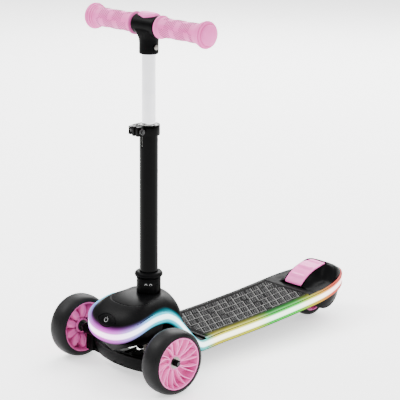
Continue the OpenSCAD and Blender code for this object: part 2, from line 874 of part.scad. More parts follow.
module fender() {
    color([0.05, 0.05, 0.055])
    difference() {
        intersection() {
            union() {
                translate([0, rear_y, rear_z]) x_rod(-cheek_out, cheek_out, arch_out);
                intersection() {
                    for (side = [-1, 1]) translate([side * (cheek_in + cheek_out) / 2, pedal_y, pedal_z])
                        x_rod(-(cheek_out - cheek_in) / 2, (cheek_out - cheek_in) / 2, pedal_r - 1.5);
                    translate([-cheek_out, pedal_front_y, pedal_z])
                        cube([2 * cheek_out, hump_y + 1 - pedal_front_y, 2 * pedal_r]);
                }
                hull() {
                    translate([0, 0, deck_top(hump_y)])
                        linear_extrude(deck_top(tail_y) - deck_top(hump_y) + 1)
                            cut_outline(skirt_in, hump_y, tail_y);
                    translate([-cheek_out, hump_y, hump_z - eps]) cube([2 * cheek_out, hump_flat, eps]);
                }
                for (side = [-1, 1])
                    translate([side * (cheek_in + cheek_out) / 2 - (cheek_out - cheek_in) / 2,
                        pin_y - 7, rear_z])
                        cube([cheek_out - cheek_in, 60, pin_z - rear_z + 6]);
            }
            above_deck(rear_y - 70, tail_y);
        }
        translate([0, rear_y, rear_z]) x_rod(-cheek_in + 2, cheek_in - 2, arch_in);
        at_pin() x_rod(-deck_w, deck_w, pin_r);
        translate([-shoe_half - 2, shoe_y - 2 - shoe_len / 2, rear_z])
            cube([2 * shoe_half + 4, shoe_len + 4, rear_wheel_d]);
        translate([-shoe_half * 2, hump_y + fender_wall, rear_z])
            cube([shoe_half * 4, 2 * hump_flat, hump_z - rear_z - hump_flat]);
    }
}

module at_pin() {
    translate([0, pin_y, pin_z]) children();
}

module brake_pin() {
    color("silver") at_pin() x_rod(-cheek_out + 0.5, cheek_out - 0.5, pin_r);
}

module brake_pedal() {
    color([1, 0.6, 0.82])
    difference() {
        union() {
            intersection() {
                translate([0, pedal_y, pedal_z]) difference() {
                    x_rod(-pedal_w / 2, pedal_w / 2, pedal_r);
                    x_rod(-pedal_w, pedal_w, pedal_r - pedal_t);
                }
                translate([-pedal_w, pedal_front_y, pedal_z])
                    cube([2 * pedal_w, pedal_rear_y - pedal_front_y, pedal_r * 2]);
            }
            for (x = [-pedal_w / 2, pedal_w / 2 - 5]) hull() {
                at_pin() x_rod(x, x + 5, lug_r);
                translate([x, pin_y - 6, pin_z + 2]) cube([5, 12, 3.5]);
            }
        }
        at_pin() x_rod(-pedal_w, pedal_w, pin_r + run_gap);
    }
}

module brake_shoe() {
    color([0.1, 0.1, 0.1])
    difference() {
        translate([-shoe_half, shoe_y - shoe_len / 2, rear_z])
            cube([2 * shoe_half, shoe_len, rear_wheel_d]);
        at_rear_wheel() x_rod(-deck_w, deck_w, rear_r + shoe_clear);
        translate([-deck_w, 0, 0]) difference() {
            translate([0, rear_y - 60, rear_z]) cube([2 * deck_w, 160, 2 * rear_wheel_d]);
            translate([0, pedal_y, pedal_z]) x_rod(-1, 2 * deck_w + 1, pedal_r - pedal_t);
        }
    }
}

module brake_spring() {
    color("silver")
    translate([0, brake_spring_y, brake_spring_z])
        difference() {
            cylinder(h = brake_spring_top - brake_spring_z, r = brake_spring_r);
            translate([0, 0, -1]) cylinder(h = pedal_r, r = brake_spring_r - 1.4);
        }
}

// ---------------------------------------------------------------- column
bush_h = 40;
inner_r = inner_tube_d / 2;
clamp_z = outer_tube_top - clamp_h;
clamp_in = tube_r;
clamp_out = tube_r + clamp_wall;
ear_reach = 16;
ear_slot = 4;
ear_t = 6;
bolt_y = column_y - tube_r - 9;
bolt_z = clamp_z + clamp_h / 2;
bolt_r = 3;
ear_out = ear_slot / 2 + ear_t;
cam_r = 7;
cam_x = -ear_out - cam_r - 0.3;
cam_pin_r = 2;
cam_slot = 5.6;
lever_h = 14;
flange_h = 11;
tube_slot_w = 3;
tube_slot_h = 24;
flange_out = tube_r + 9;

module lock_collar() {
    color([0.05, 0.05, 0.05])
    translate([0, column_y, collar_z]) difference() {
        union() {
            cylinder(h = lock_collar_h, r = collar_out);
            for (a = [0:90:270]) rotate(a)
                translate([collar_out - 2, -4, 0]) cube([3.2, 8, lock_collar_h * 0.6]);
        }
        translate([0, 0, -1]) cylinder(h = lock_collar_h + 2, r = socket_out + run_gap);
    }
}

module outer_tube() {
    color([0.03, 0.03, 0.03])
    translate([0, column_y, 0]) difference() {
        translate([0, 0, tube_foot_z + move_gap])
            cylinder(h = outer_tube_top - tube_foot_z - move_gap, r = tube_r);
        cylinder(h = handlebar_z, r = tube_r - outer_tube_wall);
        translate([-tube_slot_w / 2, -tube_r - 1, clamp_z - tube_slot_h])
            cube([tube_slot_w, tube_r, clamp_h + tube_slot_h + 6]);
    }
}

module tube_flange() {
    color([0.04, 0.04, 0.04])
    translate([0, column_y, flange_z]) rotate_extrude($fn = 96)
        intersection() {
            union() {
                translate([tube_r, 0]) square([flange_out - tube_r - flange_h / 2, flange_h]);
                translate([flange_out - flange_h / 2, flange_h / 2]) circle(flange_h / 2, $fn = 48);
            }
            translate([tube_r, 0]) square([flange_out - tube_r, flange_h]);
        }
}

module guide_bush() {
    color([0.8, 0.8, 0.8])
    translate([0, column_y, outer_tube_top - bush_h]) difference() {
        cylinder(h = bush_h, r = tube_r - outer_tube_wall);
        translate([0, 0, -1]) cylinder(h = bush_h + 2, r = inner_r + run_gap);
    }
}

module clamp_collar() {
    color([0.04, 0.04, 0.04])
    difference() {
        union() {
            translate([0, column_y, clamp_z]) cylinder(h = clamp_h, r = clamp_out);
            translate([-ear_out, column_y - tube_r - ear_reach, clamp_z + 1])
                cube([2 * ear_out, ear_reach + 6, clamp_h - 2]);
        }
        translate([0, column_y, clamp_z - 1]) cylinder(h = clamp_h + 2, r = clamp_in);
        translate([-ear_slot / 2, column_y - tube_r - ear_reach - 1, clamp_z - 1])
            cube([ear_slot, ear_reach + tube_r, clamp_h + 2]);
        translate([0, bolt_y, bolt_z]) x_rod(-ear_out - 1, ear_out + 1, bolt_r);
    }
}

module clamp_bolt() {
    color("silver")
    difference() {
        union() {
            translate([0, bolt_y, bolt_z]) x_rod(cam_x, ear_out + 7, bolt_r);
            translate([cam_x, bolt_y, bolt_z - 3]) cylinder(h = 6, r = 4);
        }
        translate([cam_x, bolt_y, bolt_z - 20]) cylinder(h = 40, r = cam_pin_r);
    }
}

module clamp_nut() {
    color("silver")
    translate([0, bolt_y, bolt_z]) difference() {
        translate([ear_out, 0, 0]) rotate([0, 90, 0]) cylinder(h = 5.5, r = 6, $fn = 6);
        x_rod(ear_out - 1, ear_out + 7, bolt_r);
    }
}

module clamp_pin() {
    color("silver")
    translate([cam_x, bolt_y, bolt_z - lever_h / 2 - 0.5]) cylinder(h = lever_h + 1, r = cam_pin_r);
}

// Lever with a forked cam, folded back beside the column
module clamp_lever() {
    color([0.03, 0.03, 0.03])
    difference() {
        union() {
            translate([cam_x, bolt_y, bolt_z - lever_h / 2]) cylinder(h = lever_h, r = cam_r);
            translate([0, 0, bolt_z - lever_h / 2]) linear_extrude(lever_h)
                polygon([
                    [cam_x - 2, bolt_y - cam_r + 1], [cam_x - cam_r, bolt_y],
                    [-clamp_out - 7, column_y - 12], [-clamp_out - 8, column_y + 4],
                    [-clamp_out - 7, column_y + 24], [-clamp_out - 3, column_y + 24],
                    [-clamp_out - 3.5, column_y + 4], [-clamp_out - 2.5, column_y - 8],
                    [cam_x, bolt_y + cam_r]]);
        }
        translate([cam_x, bolt_y, bolt_z - lever_h]) cylinder(h = 2 * lever_h, r = cam_pin_r + run_gap);
        translate([cam_x - cam_slot, bolt_y - cam_r - 3, bolt_z - 3.4])
            cube([cam_slot + cam_r + 3, 2 * cam_r + 3, 6.8]);
    }
}

// ---------------------------------------------------------------- handlebar
neck_z = handlebar_z - 51;
neck_r = 18;
insert_depth = 132;
housing_r = t_housing_d / 2;
half_housing = t_housing_w / 2;
grip_x0 = half_housing + 3;
cap_t = 9;
grip_x1 = handlebar_width / 2 - cap_t - 0.4;
cross_bolt_z = neck_z + 13;
cover_half = 22;
cover_t = 8;

module at_bar() {
    translate([0, column_y, handlebar_z]) children();
}

module inner_tube() {
    color([0.85, 0.85, 0.87])
    translate([0, column_y, outer_tube_top - insert_depth]) difference() {
        cylinder(h = handlebar_z - bar_d / 2 - 1 - outer_tube_top + insert_depth, r = inner_r);
        translate([0, 0, -1]) cylinder(h = handlebar_z, r = inner_r - inner_tube_wall);
        translate([0, 0, cross_bolt_z - outer_tube_top + insert_depth])
            x_rod(-inner_tube_d, inner_tube_d, 2.5);
    }
}

module bar_tube() {
    color([0.8, 0.8, 0.82])
    at_bar() x_ring(-handlebar_width / 2 + cap_t, handlebar_width / 2 - cap_t, bar_d / 2, bar_d / 2 - 1.5);
}

module t_housing() {
    color([0.05, 0.05, 0.05])
    difference() {
        union() {
            at_bar() x_rod(-half_housing, half_housing, housing_r);
            translate([0, column_y, neck_z]) cylinder(h = handlebar_z - neck_z, r = neck_r);
        }
        at_bar() x_rod(-handlebar_width, handlebar_width, bar_d / 2);
        translate([0, column_y, neck_z - 1]) cylinder(h = handlebar_z - bar_d / 2 - neck_z, r = inner_r);
        translate([0, column_y, cross_bolt_z]) x_rod(-2 * neck_r, 2 * neck_r, 2.5);
    }
}

module t_screws() {
    color("silver")
    translate([0, column_y, cross_bolt_z]) {
        x_rod(-neck_r - 1, neck_r + 1, 2.5);
        for (side = [0, 1]) mirror([side, 0, 0]) x_rod(neck_r + 0.2, neck_r + 3, 4.5);
    }
}

module top_cover() {
    color([1, 0.6, 0.82])
    at_bar() intersection() {
        x_ring(-cover_half, cover_half, housing_r + cover_t, housing_r);
        translate([-cover_half, -16, 8]) cube([2 * cover_half, 32, 40]);
    }
}

// Grip with a flange at each end
module grip() {
    color([1, 0.6, 0.82])
    at_bar() difference() {
        union() {
            x_rod(grip_x0, grip_x1, grip_d / 2);
            x_rod(grip_x0, grip_x0 + 4, grip_d / 2 + 4);
            x_rod(grip_x1 - 6, grip_x1, grip_flange_d / 2);
        }
        x_rod(0, handlebar_width, bar_d / 2);
    }
}

module end_cap() {
    at_bar() difference() {
        translate([grip_x1 + 0.4, 0, 0]) rotate([0, 90, 0])
            cylinder(h = cap_t, r1 = grip_flange_d / 2 - 1.5, r2 = grip_flange_d / 2 - 6);
        x_rod(0, handlebar_width / 2 - cap_t, bar_d / 2);
    }
}

module left_grip() grip();
module right_grip() mirror([1, 0, 0]) grip();
module end_caps() {
    color([1, 0.6, 0.82]) {
        end_cap();
        mirror([1, 0, 0]) end_cap();
    }
}

front_housing();
housing_base();
column_socket();
mode_button();
button_bezel();
button_spring();
front_light();
left_light();
right_light();
light_boards();
control_board();
housing_screws();
deck_body();
deck_bottom();
grip_mat();
battery_pack();
battery_door();
deck_screws();
fender();
brake_pin();
brake_spring();
brake_pedal();
brake_shoe();
rear_axle();
rear_nuts();
rear_tyre();
rear_hub();
rear_bearings();
pivot_pin();
pivot_nut();
axle_beam();
centring_springs();
left_axle();
right_axle();
axle_nuts();
left_tyre();
left_hub();
left_bearings();
right_tyre();
right_hub();
right_bearings();
lock_collar();
outer_tube();
tube_flange();
guide_bush();
clamp_collar();
clamp_bolt();
clamp_nut();
clamp_pin();
clamp_lever();
inner_tube();
bar_tube();
t_housing();
t_screws();
top_cover();
left_grip();
right_grip();
end_caps();
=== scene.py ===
import math

import bmesh
import bpy
from mathutils import Matrix, Vector


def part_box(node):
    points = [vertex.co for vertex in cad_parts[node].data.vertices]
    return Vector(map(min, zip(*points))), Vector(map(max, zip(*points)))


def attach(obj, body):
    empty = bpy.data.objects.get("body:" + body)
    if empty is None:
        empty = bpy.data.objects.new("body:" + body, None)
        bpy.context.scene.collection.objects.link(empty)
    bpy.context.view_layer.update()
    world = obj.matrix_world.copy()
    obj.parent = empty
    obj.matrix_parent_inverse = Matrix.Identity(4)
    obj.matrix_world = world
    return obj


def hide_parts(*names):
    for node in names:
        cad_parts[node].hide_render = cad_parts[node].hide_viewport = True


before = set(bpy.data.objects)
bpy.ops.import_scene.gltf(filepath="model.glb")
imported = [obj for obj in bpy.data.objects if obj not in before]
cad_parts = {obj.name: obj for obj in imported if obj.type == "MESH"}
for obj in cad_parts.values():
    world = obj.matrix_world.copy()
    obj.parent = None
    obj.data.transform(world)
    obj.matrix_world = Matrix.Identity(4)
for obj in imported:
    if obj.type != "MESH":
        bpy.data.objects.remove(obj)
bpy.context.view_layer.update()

# Shapes are worked out in millimetres and scaled once, when a mesh is made.
MM = 0.001


def box_mm(node):
    low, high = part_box(node)
    return low / MM, high / MM


def middle(node):
    low, high = box_mm(node)
    return (low + high) / 2


# ---------------------------------------------------------------- places taken from the frame
tyre_low, tyre_high = box_mm("left_tyre")
rear_low, rear_high = box_mm("rear_tyre")
grip_low, grip_high = box_mm("left_grip")
wheel = middle("left_tyre")
rear = middle("rear_tyre")
column_y = middle("outer_tube").y
bar_z = middle("bar_tube").z
front_r = (tyre_high.z - tyre_low.z) / 2
front_w = tyre_high.x - tyre_low.x
rear_r = (rear_high.z - rear_low.z) / 2
rear_w = rear_high.x - rear_low.x
axle_y, axle_z = wheel.y, wheel.z
tail_y = box_mm("deck_body")[1].y
housing_top = box_mm("front_housing")[1].z

# Sizes that the frame's boxes don't give, as in the part's own source
deck_w, hip_w, housing_w = 142, 160, 144
deck_over_axle, deck_depth, deck_sweep_r = -6, 22, 3275
strip_h, strip_t, strip_drop = 15, 4, 2.5
nose_reach, strip_nose_rise, strip_arch_rise = 52, 27, 61.5
deck_z = axle_z + deck_over_axle
deck_low_y, deck_front_y, dip_y = axle_y + 104, axle_y + 140, axle_y + 134
arch_y, hip_y, deck_side_y = axle_y + 34, axle_y + 85, axle_y + 200
nose_y, tail_start_y = axle_y - nose_reach, tail_y - 135
hood_z = axle_z + strip_nose_rise + strip_h / 2
foot_z = deck_z - deck_depth
socket_r, crown_r = 19.55, 27.5
nose_power, tail_power = 2.6, 2.1
shoulder, hood_front, hood_rear, hood_power = 0.38, 0.965, 42, 2.2
beam_top, beam_base = axle_z - 13.6, axle_z - 41.4
tail_reach, tail_drop = 50, 24
hump_inset = 4.5
NOSE_STEPS = 28


def deck_top(y):
    return deck_z + (y - deck_low_y) ** 2 / (2 * deck_sweep_r)


def ease(a, b, t):
    """Goes from a to b as t goes from 0 to 1, level at both ends."""
    t = max(0.0, min(1.0, t))
    return a + (b - a) * (1 - math.cos(math.pi * t)) / 2


def wave(y):
    """Height of the middle of the light strip."""
    if y < arch_y:
        rise = math.sin(math.pi / 2 * max(0.0, (y - nose_y) / (arch_y - nose_y))) ** 0.8
        return axle_z + strip_nose_rise + (strip_arch_rise - strip_nose_rise) * rise
    drop = strip_drop + strip_h / 2
    if y < dip_y:
        return ease(axle_z + strip_arch_rise, deck_top(dip_y) - drop, (y - arch_y) / (dip_y - arch_y))
    return deck_top(y) - drop


def side_x(y):
    """Half width of the chassis from the front axle to the start of the tail."""
    if y < hip_y:
        return ease(housing_w / 2, hip_w / 2, (y - axle_y) / (hip_y - axle_y))
    return ease(hip_w / 2, deck_w / 2, (y - hip_y) / (deck_side_y - hip_y))


def half_outline(nose_n=NOSE_STEPS, side_n=110, tail_n=40):
    """The left side of the chassis outline, from the nose to the tail."""
    points = []
    for i in range(nose_n):
        a = math.pi / 2 * i / nose_n
        points.append((housing_w / 2 * math.sin(a) ** (2 / nose_power),
                       axle_y - nose_reach * math.cos(a) ** (2 / nose_power)))
    for i in range(side_n + 1):
        y = axle_y + (tail_start_y - axle_y) * i / side_n
        points.append((side_x(y), y))
    for i in range(1, tail_n + 1):
        a = math.pi / 2 * (1 - i / tail_n)
        points.append((deck_w / 2 * max(0.0, math.sin(a)) ** (2 / tail_power),
                       tail_start_y + (tail_y - tail_start_y) * math.cos(a) ** (2 / tail_power)))
    return points


HALF = half_outline()
RUN = [0.0]
for here, there in zip(HALF, HALF[1:]):
    RUN.append(RUN[-1] + math.dist(here, there))
RUN = [length / RUN[-1] for length in RUN]


def along_at(y):
    """Place along the strip, 0 at the nose and 1 at the tail, for a y behind the front axle."""
    behind = [(point, length) for point, length in zip(HALF, RUN) if point[1] >= axle_y]
    return min(behind, key=lambda item: abs(item[0][1] - y))[1]


def half_width(y):
    """Half width of the chassis at y, tail included."""
    if y <= tail_start_y:
        return side_x(max(y, axle_y))
    t = min(1.0, (y - tail_start_y) / (tail_y - tail_start_y))
    return deck_w / 2 * (1 - t ** tail_power) ** (1 / tail_power)


# ---------------------------------------------------------------- mesh helpers
def publish(obj, body, replaces=()):
    """Puts a piece on its body, in place of the frame nodes named."""
    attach(obj, body)
    if replaces:
        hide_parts(*replaces)
    return obj


def link(name, mesh, material):
    obj = bpy.data.objects.new(name, mesh)
    bpy.context.scene.collection.objects.link(obj)
    mesh.materials.clear()
    mesh.materials.append(material)
    return obj


def clean(mesh, sharp=35):
    """Joins doubled points, turns faces outwards and shades smooth up to the sharp angle."""
    bm = bmesh.new()
    bm.from_mesh(mesh)
    bmesh.ops.remove_doubles(bm, verts=bm.verts, dist=1e-6)
    bmesh.ops.dissolve_degenerate(bm, edges=bm.edges, dist=1e-7)
    bmesh.ops.recalc_face_normals(bm, faces=bm.faces)
    bm.to_mesh(mesh)
    bm.free()
    mesh.shade_smooth()
    mesh.set_sharp_from_angle(angle=math.radians(sharp))


def solid(name, points, faces, material, sharp=35, uvs=None):
    mesh = bpy.data.meshes.new(name)
    mesh.from_pydata([tuple(Vector(p) * MM) for p in points], [], faces)
    if uvs:
        layer = mesh.uv_layers.new(name="strip")
        for loop in mesh.loops:
            layer.data[loop.index].uv = uvs[loop.vertex_index]
    clean(mesh, sharp)
    return link(name, mesh, material)


def loft(rings, round_trip=False):
    """Points and faces of closed rings joined in a row; the ends are capped unless the row closes."""
    n, points, faces = len(rings[0]), [], []
    for ring in rings:
        points.extend(ring)
    rows = len(rings)
    for i in range(rows if round_trip else rows - 1):
        a, b = i * n, ((i + 1) % rows) * n
        for j in range(n):
            k = (j + 1) % n
            faces.append((a + j, a + k, b + k, b + j))
    if not round_trip:
        faces.append(tuple(range(n)))
        faces.append(tuple(range((rows - 1) * n, rows * n)))
    return points, faces


def grid(rows):
    """Points and faces of an open sheet of rows."""
    n = len(rows[0])
    points = [p for row in rows for p in row]
    faces = [(i * n + j, i * n + j + 1, (i + 1) * n + j + 1, (i + 1) * n + j)
             for i in range(len(rows) - 1) for j in range(n - 1)]
    return points, faces


def turned(profile, centre, axis, segments=96):
    """Rings of a closed profile of (along, radius) pairs, turned about the X or Z axis at centre."""
    rings = []
    for i in range(segments):
        a = 2 * math.pi * i / segments
        c, s = math.cos(a), math.sin(a)
        if axis == "X":
            rings.append([(centre[0] + u, centre[1] + r * c, centre[2] + r * s) for u, r in profile])
        else:
            rings.append([(centre[0] + r * c, centre[1] + r * s, centre[2] + u) for u, r in profile])
    return loft(rings, round_trip=True)


def joined(parts):
    points, faces = [], []
    for p, f in parts:
        start = len(points)
        points.extend(p)
        faces.extend(tuple(i + start for i in face) for face in f)
    return points, faces


def applied(obj):
    """Puts the modifiers into a plain mesh and takes them off."""
    graph = bpy.context.evaluated_depsgraph_get()
    mesh = bpy.data.meshes.new_from_object(obj.evaluated_get(graph))
    old = obj.data
    obj.modifiers.clear()
    obj.data = mesh
    bpy.data.meshes.remove(old)
    return obj


def finished(node, bevel, material, body, segments=2):
    """A copy of a frame node with its sharp edges rounded."""
    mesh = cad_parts[node].data.copy()
    bm = bmesh.new()
    bm.from_mesh(mesh)
    bmesh.ops.remove_doubles(bm, verts=bm.verts, dist=2e-6)
    bmesh.ops.dissolve_limit(bm, angle_limit=math.radians(1), verts=bm.verts, edges=bm.edges)
    bm.to_mesh(mesh)
    bm.free()
    obj = link(node + "_finished", mesh, material)
    mod = obj.modifiers.new("edges", "BEVEL")
    mod.width, mod.segments = bevel * MM, segments
    mod.limit_method, mod.angle_limit = "ANGLE", math.radians(40)
    mod.use_clamp_overlap = True
    applied(obj)
    obj.data.shade_smooth()
    obj.data.set_sharp_from_angle(angle=math.radians(45))
    return publish(obj, body, [node])


# ---------------------------------------------------------------- geometry node trees
def new_tree(name, sizes):
    tree = bpy.data.node_groups.new(name, "GeometryNodeTree")
    tree.interface.new_socket("Geometry", in_out="INPUT", socket_type="NodeSocketGeometry")
    for label, kind in sizes:
        tree.interface.new_socket(label, in_out="INPUT", socket_type=kind)
    tree.interface.new_socket("Geometry", in_out="OUTPUT", socket_type="NodeSocketGeometry")
    return tree, tree.nodes.new("NodeGroupInput"), tree.nodes.new("NodeGroupOutput")


def end_tree(tree, geometry, group_in, group_out):
    real = tree.nodes.new("GeometryNodeRealizeInstances")
    paint = tree.nodes.new("GeometryNodeSetMaterial")
    tree.links.new(geometry, real.inputs[0])
    tree.links.new(real.outputs[0], paint.inputs["Geometry"])
    tree.links.new(group_in.outputs["Material"], paint.inputs["Material"])
    tree.links.new(paint.outputs[0], group_out.inputs[0])
    return tree


def ring_array_tree():
    """Repeats the input about the X axis, at equal turns."""
    sizes = [("Count", "NodeSocketInt"), ("Material", "NodeSocketMaterial")]
    tree, group_in, group_out = new_tree("ring_array", sizes)
    add = tree.nodes.new
    spots, index = add("GeometryNodePoints"), add("GeometryNodeInputIndex")
    step, turn, pose = add("ShaderNodeMath"), add("ShaderNodeMath"), add("ShaderNodeCombineXYZ")
    place = add("GeometryNodeInstanceOnPoints")
    step.operation, step.inputs[0].default_value = "DIVIDE", 2 * math.pi
    turn.operation = "MULTIPLY"
    tree.links.new(group_in.outputs["Count"], spots.inputs["Count"])
    tree.links.new(group_in.outputs["Count"], step.inputs[1])
    tree.links.new(step.outputs[0], turn.inputs[0])
    tree.links.new(index.outputs[0], turn.inputs[1])
    tree.links.new(turn.outputs[0], pose.inputs["X"])
    tree.links.new(spots.outputs[0], place.inputs["Points"])
    tree.links.new(group_in.outputs["Geometry"], place.inputs["Instance"])
    tree.links.new(pose.outputs[0], place.inputs["Rotation"])
    return end_tree(tree, place.outputs[0], group_in, group_out)


def beads_tree():
    """Puts a small bead on each point of the input."""
    sizes = [("Radius", "NodeSocketFloat"), ("Material", "NodeSocketMaterial")]
    tree, group_in, group_out = new_tree("beads", sizes)
    bead = tree.nodes.new("GeometryNodeMeshIcoSphere")
    place = tree.nodes.new("GeometryNodeInstanceOnPoints")
    bead.inputs["Subdivisions"].default_value = 2
    tree.links.new(group_in.outputs["Radius"], bead.inputs["Radius"])
    tree.links.new(group_in.outputs["Geometry"], place.inputs["Points"])
    tree.links.new(bead.outputs["Mesh"], place.inputs["Instance"])
    return end_tree(tree, place.outputs[0], group_in, group_out)


def piping_tree():
    """Gives each edge of the input a round body."""
    sizes = [("Radius", "NodeSocketFloat"), ("Sides", "NodeSocketInt"), ("Material", "NodeSocketMaterial")]
    tree, group_in, group_out = new_tree("piping", sizes)
    add = tree.nodes.new
    line, ring = add("GeometryNodeMeshToCurve"), add("GeometryNodeCurvePrimitiveCircle")
    sweep = add("GeometryNodeCurveToMesh")
    tree.links.new(group_in.outputs["Geometry"], line.inputs["Mesh"])
    tree.links.new(group_in.outputs["Radius"], ring.inputs["Radius"])
    tree.links.new(group_in.outputs["Sides"], ring.inputs["Resolution"])
    tree.links.new(line.outputs[0], sweep.inputs["Curve"])
    tree.links.new(ring.outputs[0], sweep.inputs["Profile Curve"])
    sweep.inputs["Fill Caps"].default_value = True
    return end_tree(tree, sweep.outputs[0], group_in, group_out)


RING_ARRAY, BEADS, PIPING = ring_array_tree(), beads_tree(), piping_tree()


def grown(name, tree, points, edges, faces, values, offset=(0, 0, 0), sharp=40):
    """Runs a tree on a mesh given in millimetres and returns the plain result, moved by offset."""
    mesh = bpy.data.meshes.new(name)
    mesh.from_pydata([tuple(Vector(p) * MM) for p in points], edges, faces)
    if faces:
        clean(mesh)
    obj = bpy.data.objects.new(name, mesh)
    bpy.context.scene.collection.objects.link(obj)
    mod = obj.modifiers.new("grow", "NODES")
    mod.node_group = tree
    for item in tree.interface.items_tree:
        if item.in_out == "INPUT" and item.name in values:
            mod[item.identifier] = values[item.name]
    applied(obj)
    obj.data.transform(Matrix.Translation(Vector(offset) * MM))
    clean(obj.data, sharp)
    return obj


# ---------------------------------------------------------------- materials
def blank(name):
    mat = bpy.data.materials.new(name)
    mat.use_nodes = True
    tree = mat.node_tree
    return mat, tree, tree.nodes["Principled BSDF"]


def noise(tree, scale, detail=3.0):
    where = tree.nodes.new("ShaderNodeTexCoord")
    tex = tree.nodes.new("ShaderNodeTexNoise")
    tex.inputs["Scale"].default_value = scale
    tex.inputs["Detail"].default_value = detail
    tree.links.new(where.outputs["Object"], tex.inputs["Vector"])
    return tex


def spread(tree, source, low, high):
    """Maps a noise value to a range."""
    node = tree.nodes.new("ShaderNodeMapRange")
    node.inputs["From Min"].default_value, node.inputs["From Max"].default_value = 0.3, 0.7
    node.inputs["To Min"].default_value, node.inputs["To Max"].default_value = low, high
    tree.links.new(source, node.inputs["Value"])
    return node.outputs["Result"]


def moulded(name, dark, light, rough, grain, bump, cloud=35, metallic=0.0, specular=0.5):
    """A surface with slow colour change, uneven roughness and fine grain."""
    mat, tree, shader = blank(name)
    slow, fine = noise(tree, cloud), noise(tree, grain, 2.0)
    ramp = tree.nodes.new("ShaderNodeValToRGB")
    ramp.color_ramp.elements[0].position, ramp.color_ramp.elements[1].position = 0.3, 0.7
    ramp.color_ramp.elements[0].color, ramp.color_ramp.elements[1].color = (*dark, 1), (*light, 1)
    relief = tree.nodes.new("ShaderNodeBump")
    relief.inputs["Strength"].default_value = bump
    relief.inputs["Distance"].default_value = 0.0002
    tree.links.new(slow.outputs["Fac"], ramp.inputs["Fac"])
    tree.links.new(ramp.outputs["Color"], shader.inputs["Base Color"])
    tree.links.new(spread(tree, slow.outputs["Fac"], rough * 0.85, rough * 1.15), shader.inputs["Roughness"])
    tree.links.new(fine.outputs["Fac"], relief.inputs["Height"])
    tree.links.new(relief.outputs["Normal"], shader.inputs["Normal"])
    shader.inputs["Metallic"].default_value = metallic
    shader.inputs["Specular IOR Level"].default_value = specular
    return mat


# Colours along the strip, as (y, colour); those ahead of the front axle are on the nose
GLOW = [(nose_y, (0.85, 0.08, 0.80)), (-292, (0.75, 0.14, 0.85)), (-268, (0.30, 0.40, 0.95)),
        (-246, (0.00, 0.62, 0.80)), (-150, (0.00, 0.62, 0.76)), (-118, (0.10, 0.62, 0.50)),
        (-95, (0.72, 0.66, 0.04)), (20, (0.62, 0.66, 0.04)), (60, (0.02, 0.62, 0.06)),
        (135, (0.05, 0.66, 0.05)), (172, (0.60, 0.62, 0.03)), (205, (0.86, 0.40, 0.03)),
        (240, (0.92, 0.10, 0.05)), (tail_y, (0.92, 0.12, 0.14))]
# How far the glow painted beside the strip reaches over upright and over level plastic
HALO_REACH, FLAT_REACH = 12, 24
# Brightness of the strip, and of the glow painted as emission on the plastic beside it
CORE_GLOW, HALO_GLOW = 5.0, 2.6
# Share of the full brightness at the strip's edges, and share of white in its core
EDGE_GLOW, CORE_WHITE = 0.40, 0.62


def hue_ramp(tree, source):
    ramp = tree.nodes.new("ShaderNodeValToRGB")
    elements = ramp.color_ramp.elements
    stops = [(along_at(y) if y > axle_y else (y - nose_y) / nose_reach * RUN[NOSE_STEPS], colour)
             for y, colour in GLOW]
    elements[0].position, elements[0].color = 0, (*stops[0][1], 1)
    elements[1].position, elements[1].color = 1, (*stops[-1][1], 1)
    for place, colour in stops[1:-1]:
        elements.new(place).color = (*colour, 1)
    tree.links.new(source, ramp.inputs["Fac"])
    return ramp.outputs["Color"]


def grey_ramp(tree, source, stops):
    ramp = tree.nodes.new("ShaderNodeValToRGB")
    elements = ramp.color_ramp.elements
    for element, (place, value) in zip(elements, (stops[0], stops[-1])):
        element.position, element.color = place, (value, value, value, 1)
    for place, value in stops[1:-1]:
        elements.new(place).color = (value, value, value, 1)
    tree.links.new(source, ramp.inputs["Fac"])
    return ramp.outputs["Color"]


def blend(tree, factor, low, high):
    """Mixes two colours; the factor and both colours may be sockets or plain values."""
    mix = tree.nodes.new("ShaderNodeMix")
    mix.data_type = "RGBA"
    for place, value in ((0, factor), (6, low), (7, high)):
        if isinstance(value, (float, tuple)):
            mix.inputs[place].default_value = value
        else:
            tree.links.new(value, mix.inputs[place])
    return mix.outputs[2]


def strip_place(tree):
    uv, split = tree.nodes.new("ShaderNodeUVMap"), tree.nodes.new("ShaderNodeSeparateXYZ")
    uv.uv_map = "strip"
    tree.links.new(uv.outputs["UV"], split.inputs[0])
    return split


def lit_diffuser():
    """Milky strip: a pale core with its colour at both edges, changing from nose to tail."""
    mat, tree, shader = blank("lit_diffuser")
    place = strip_place(tree)
    hue = hue_ramp(tree, place.outputs["X"])
    core = grey_ramp(tree, place.outputs["Y"], [(0.0, 0.0), (0.10, 0.05), (0.26, 1.0), (0.74, 1.0),
                                                (0.90, 0.05), (1.0, 0.0)])
    edge = blend(tree, EDGE_GLOW, (0, 0, 0, 1), hue)
    middle_glow = blend(tree, CORE_WHITE, hue, (1, 1, 1, 1))
    tree.links.new(blend(tree, core, edge, middle_glow), shader.inputs["Emission Color"])
    tree.links.new(spread(tree, noise(tree, 60).outputs["Fac"], 0.35, 0.5), shader.inputs["Roughness"])
    shader.inputs["Base Color"].default_value = (0.02, 0.02, 0.02, 1)
    shader.inputs["Specular IOR Level"].default_value = 0.05
    shader.inputs["Emission Strength"].default_value = CORE_GLOW
    return mat


def haloed(mat):
    """Paints the strip's glow as emission onto the plastic beside it, fading with distance; v is the share of
    the reach.
    """
    tree = mat.node_tree
    shader = tree.nodes["Principled BSDF"]
    place = strip_place(tree)
    fade = grey_ramp(tree, place.outputs["Y"],
                     [(0.0, 0.95), (0.22, 0.50), (0.50, 0.16), (0.78, 0.03), (1.0, 0.0)])
    light = blend(tree, fade, (0, 0, 0, 1), hue_ramp(tree, place.outputs["X"]))
    tree.links.new(light, shader.inputs["Emission Color"])
    shader.inputs["Emission Strength"].default_value = HALO_GLOW
    return mat


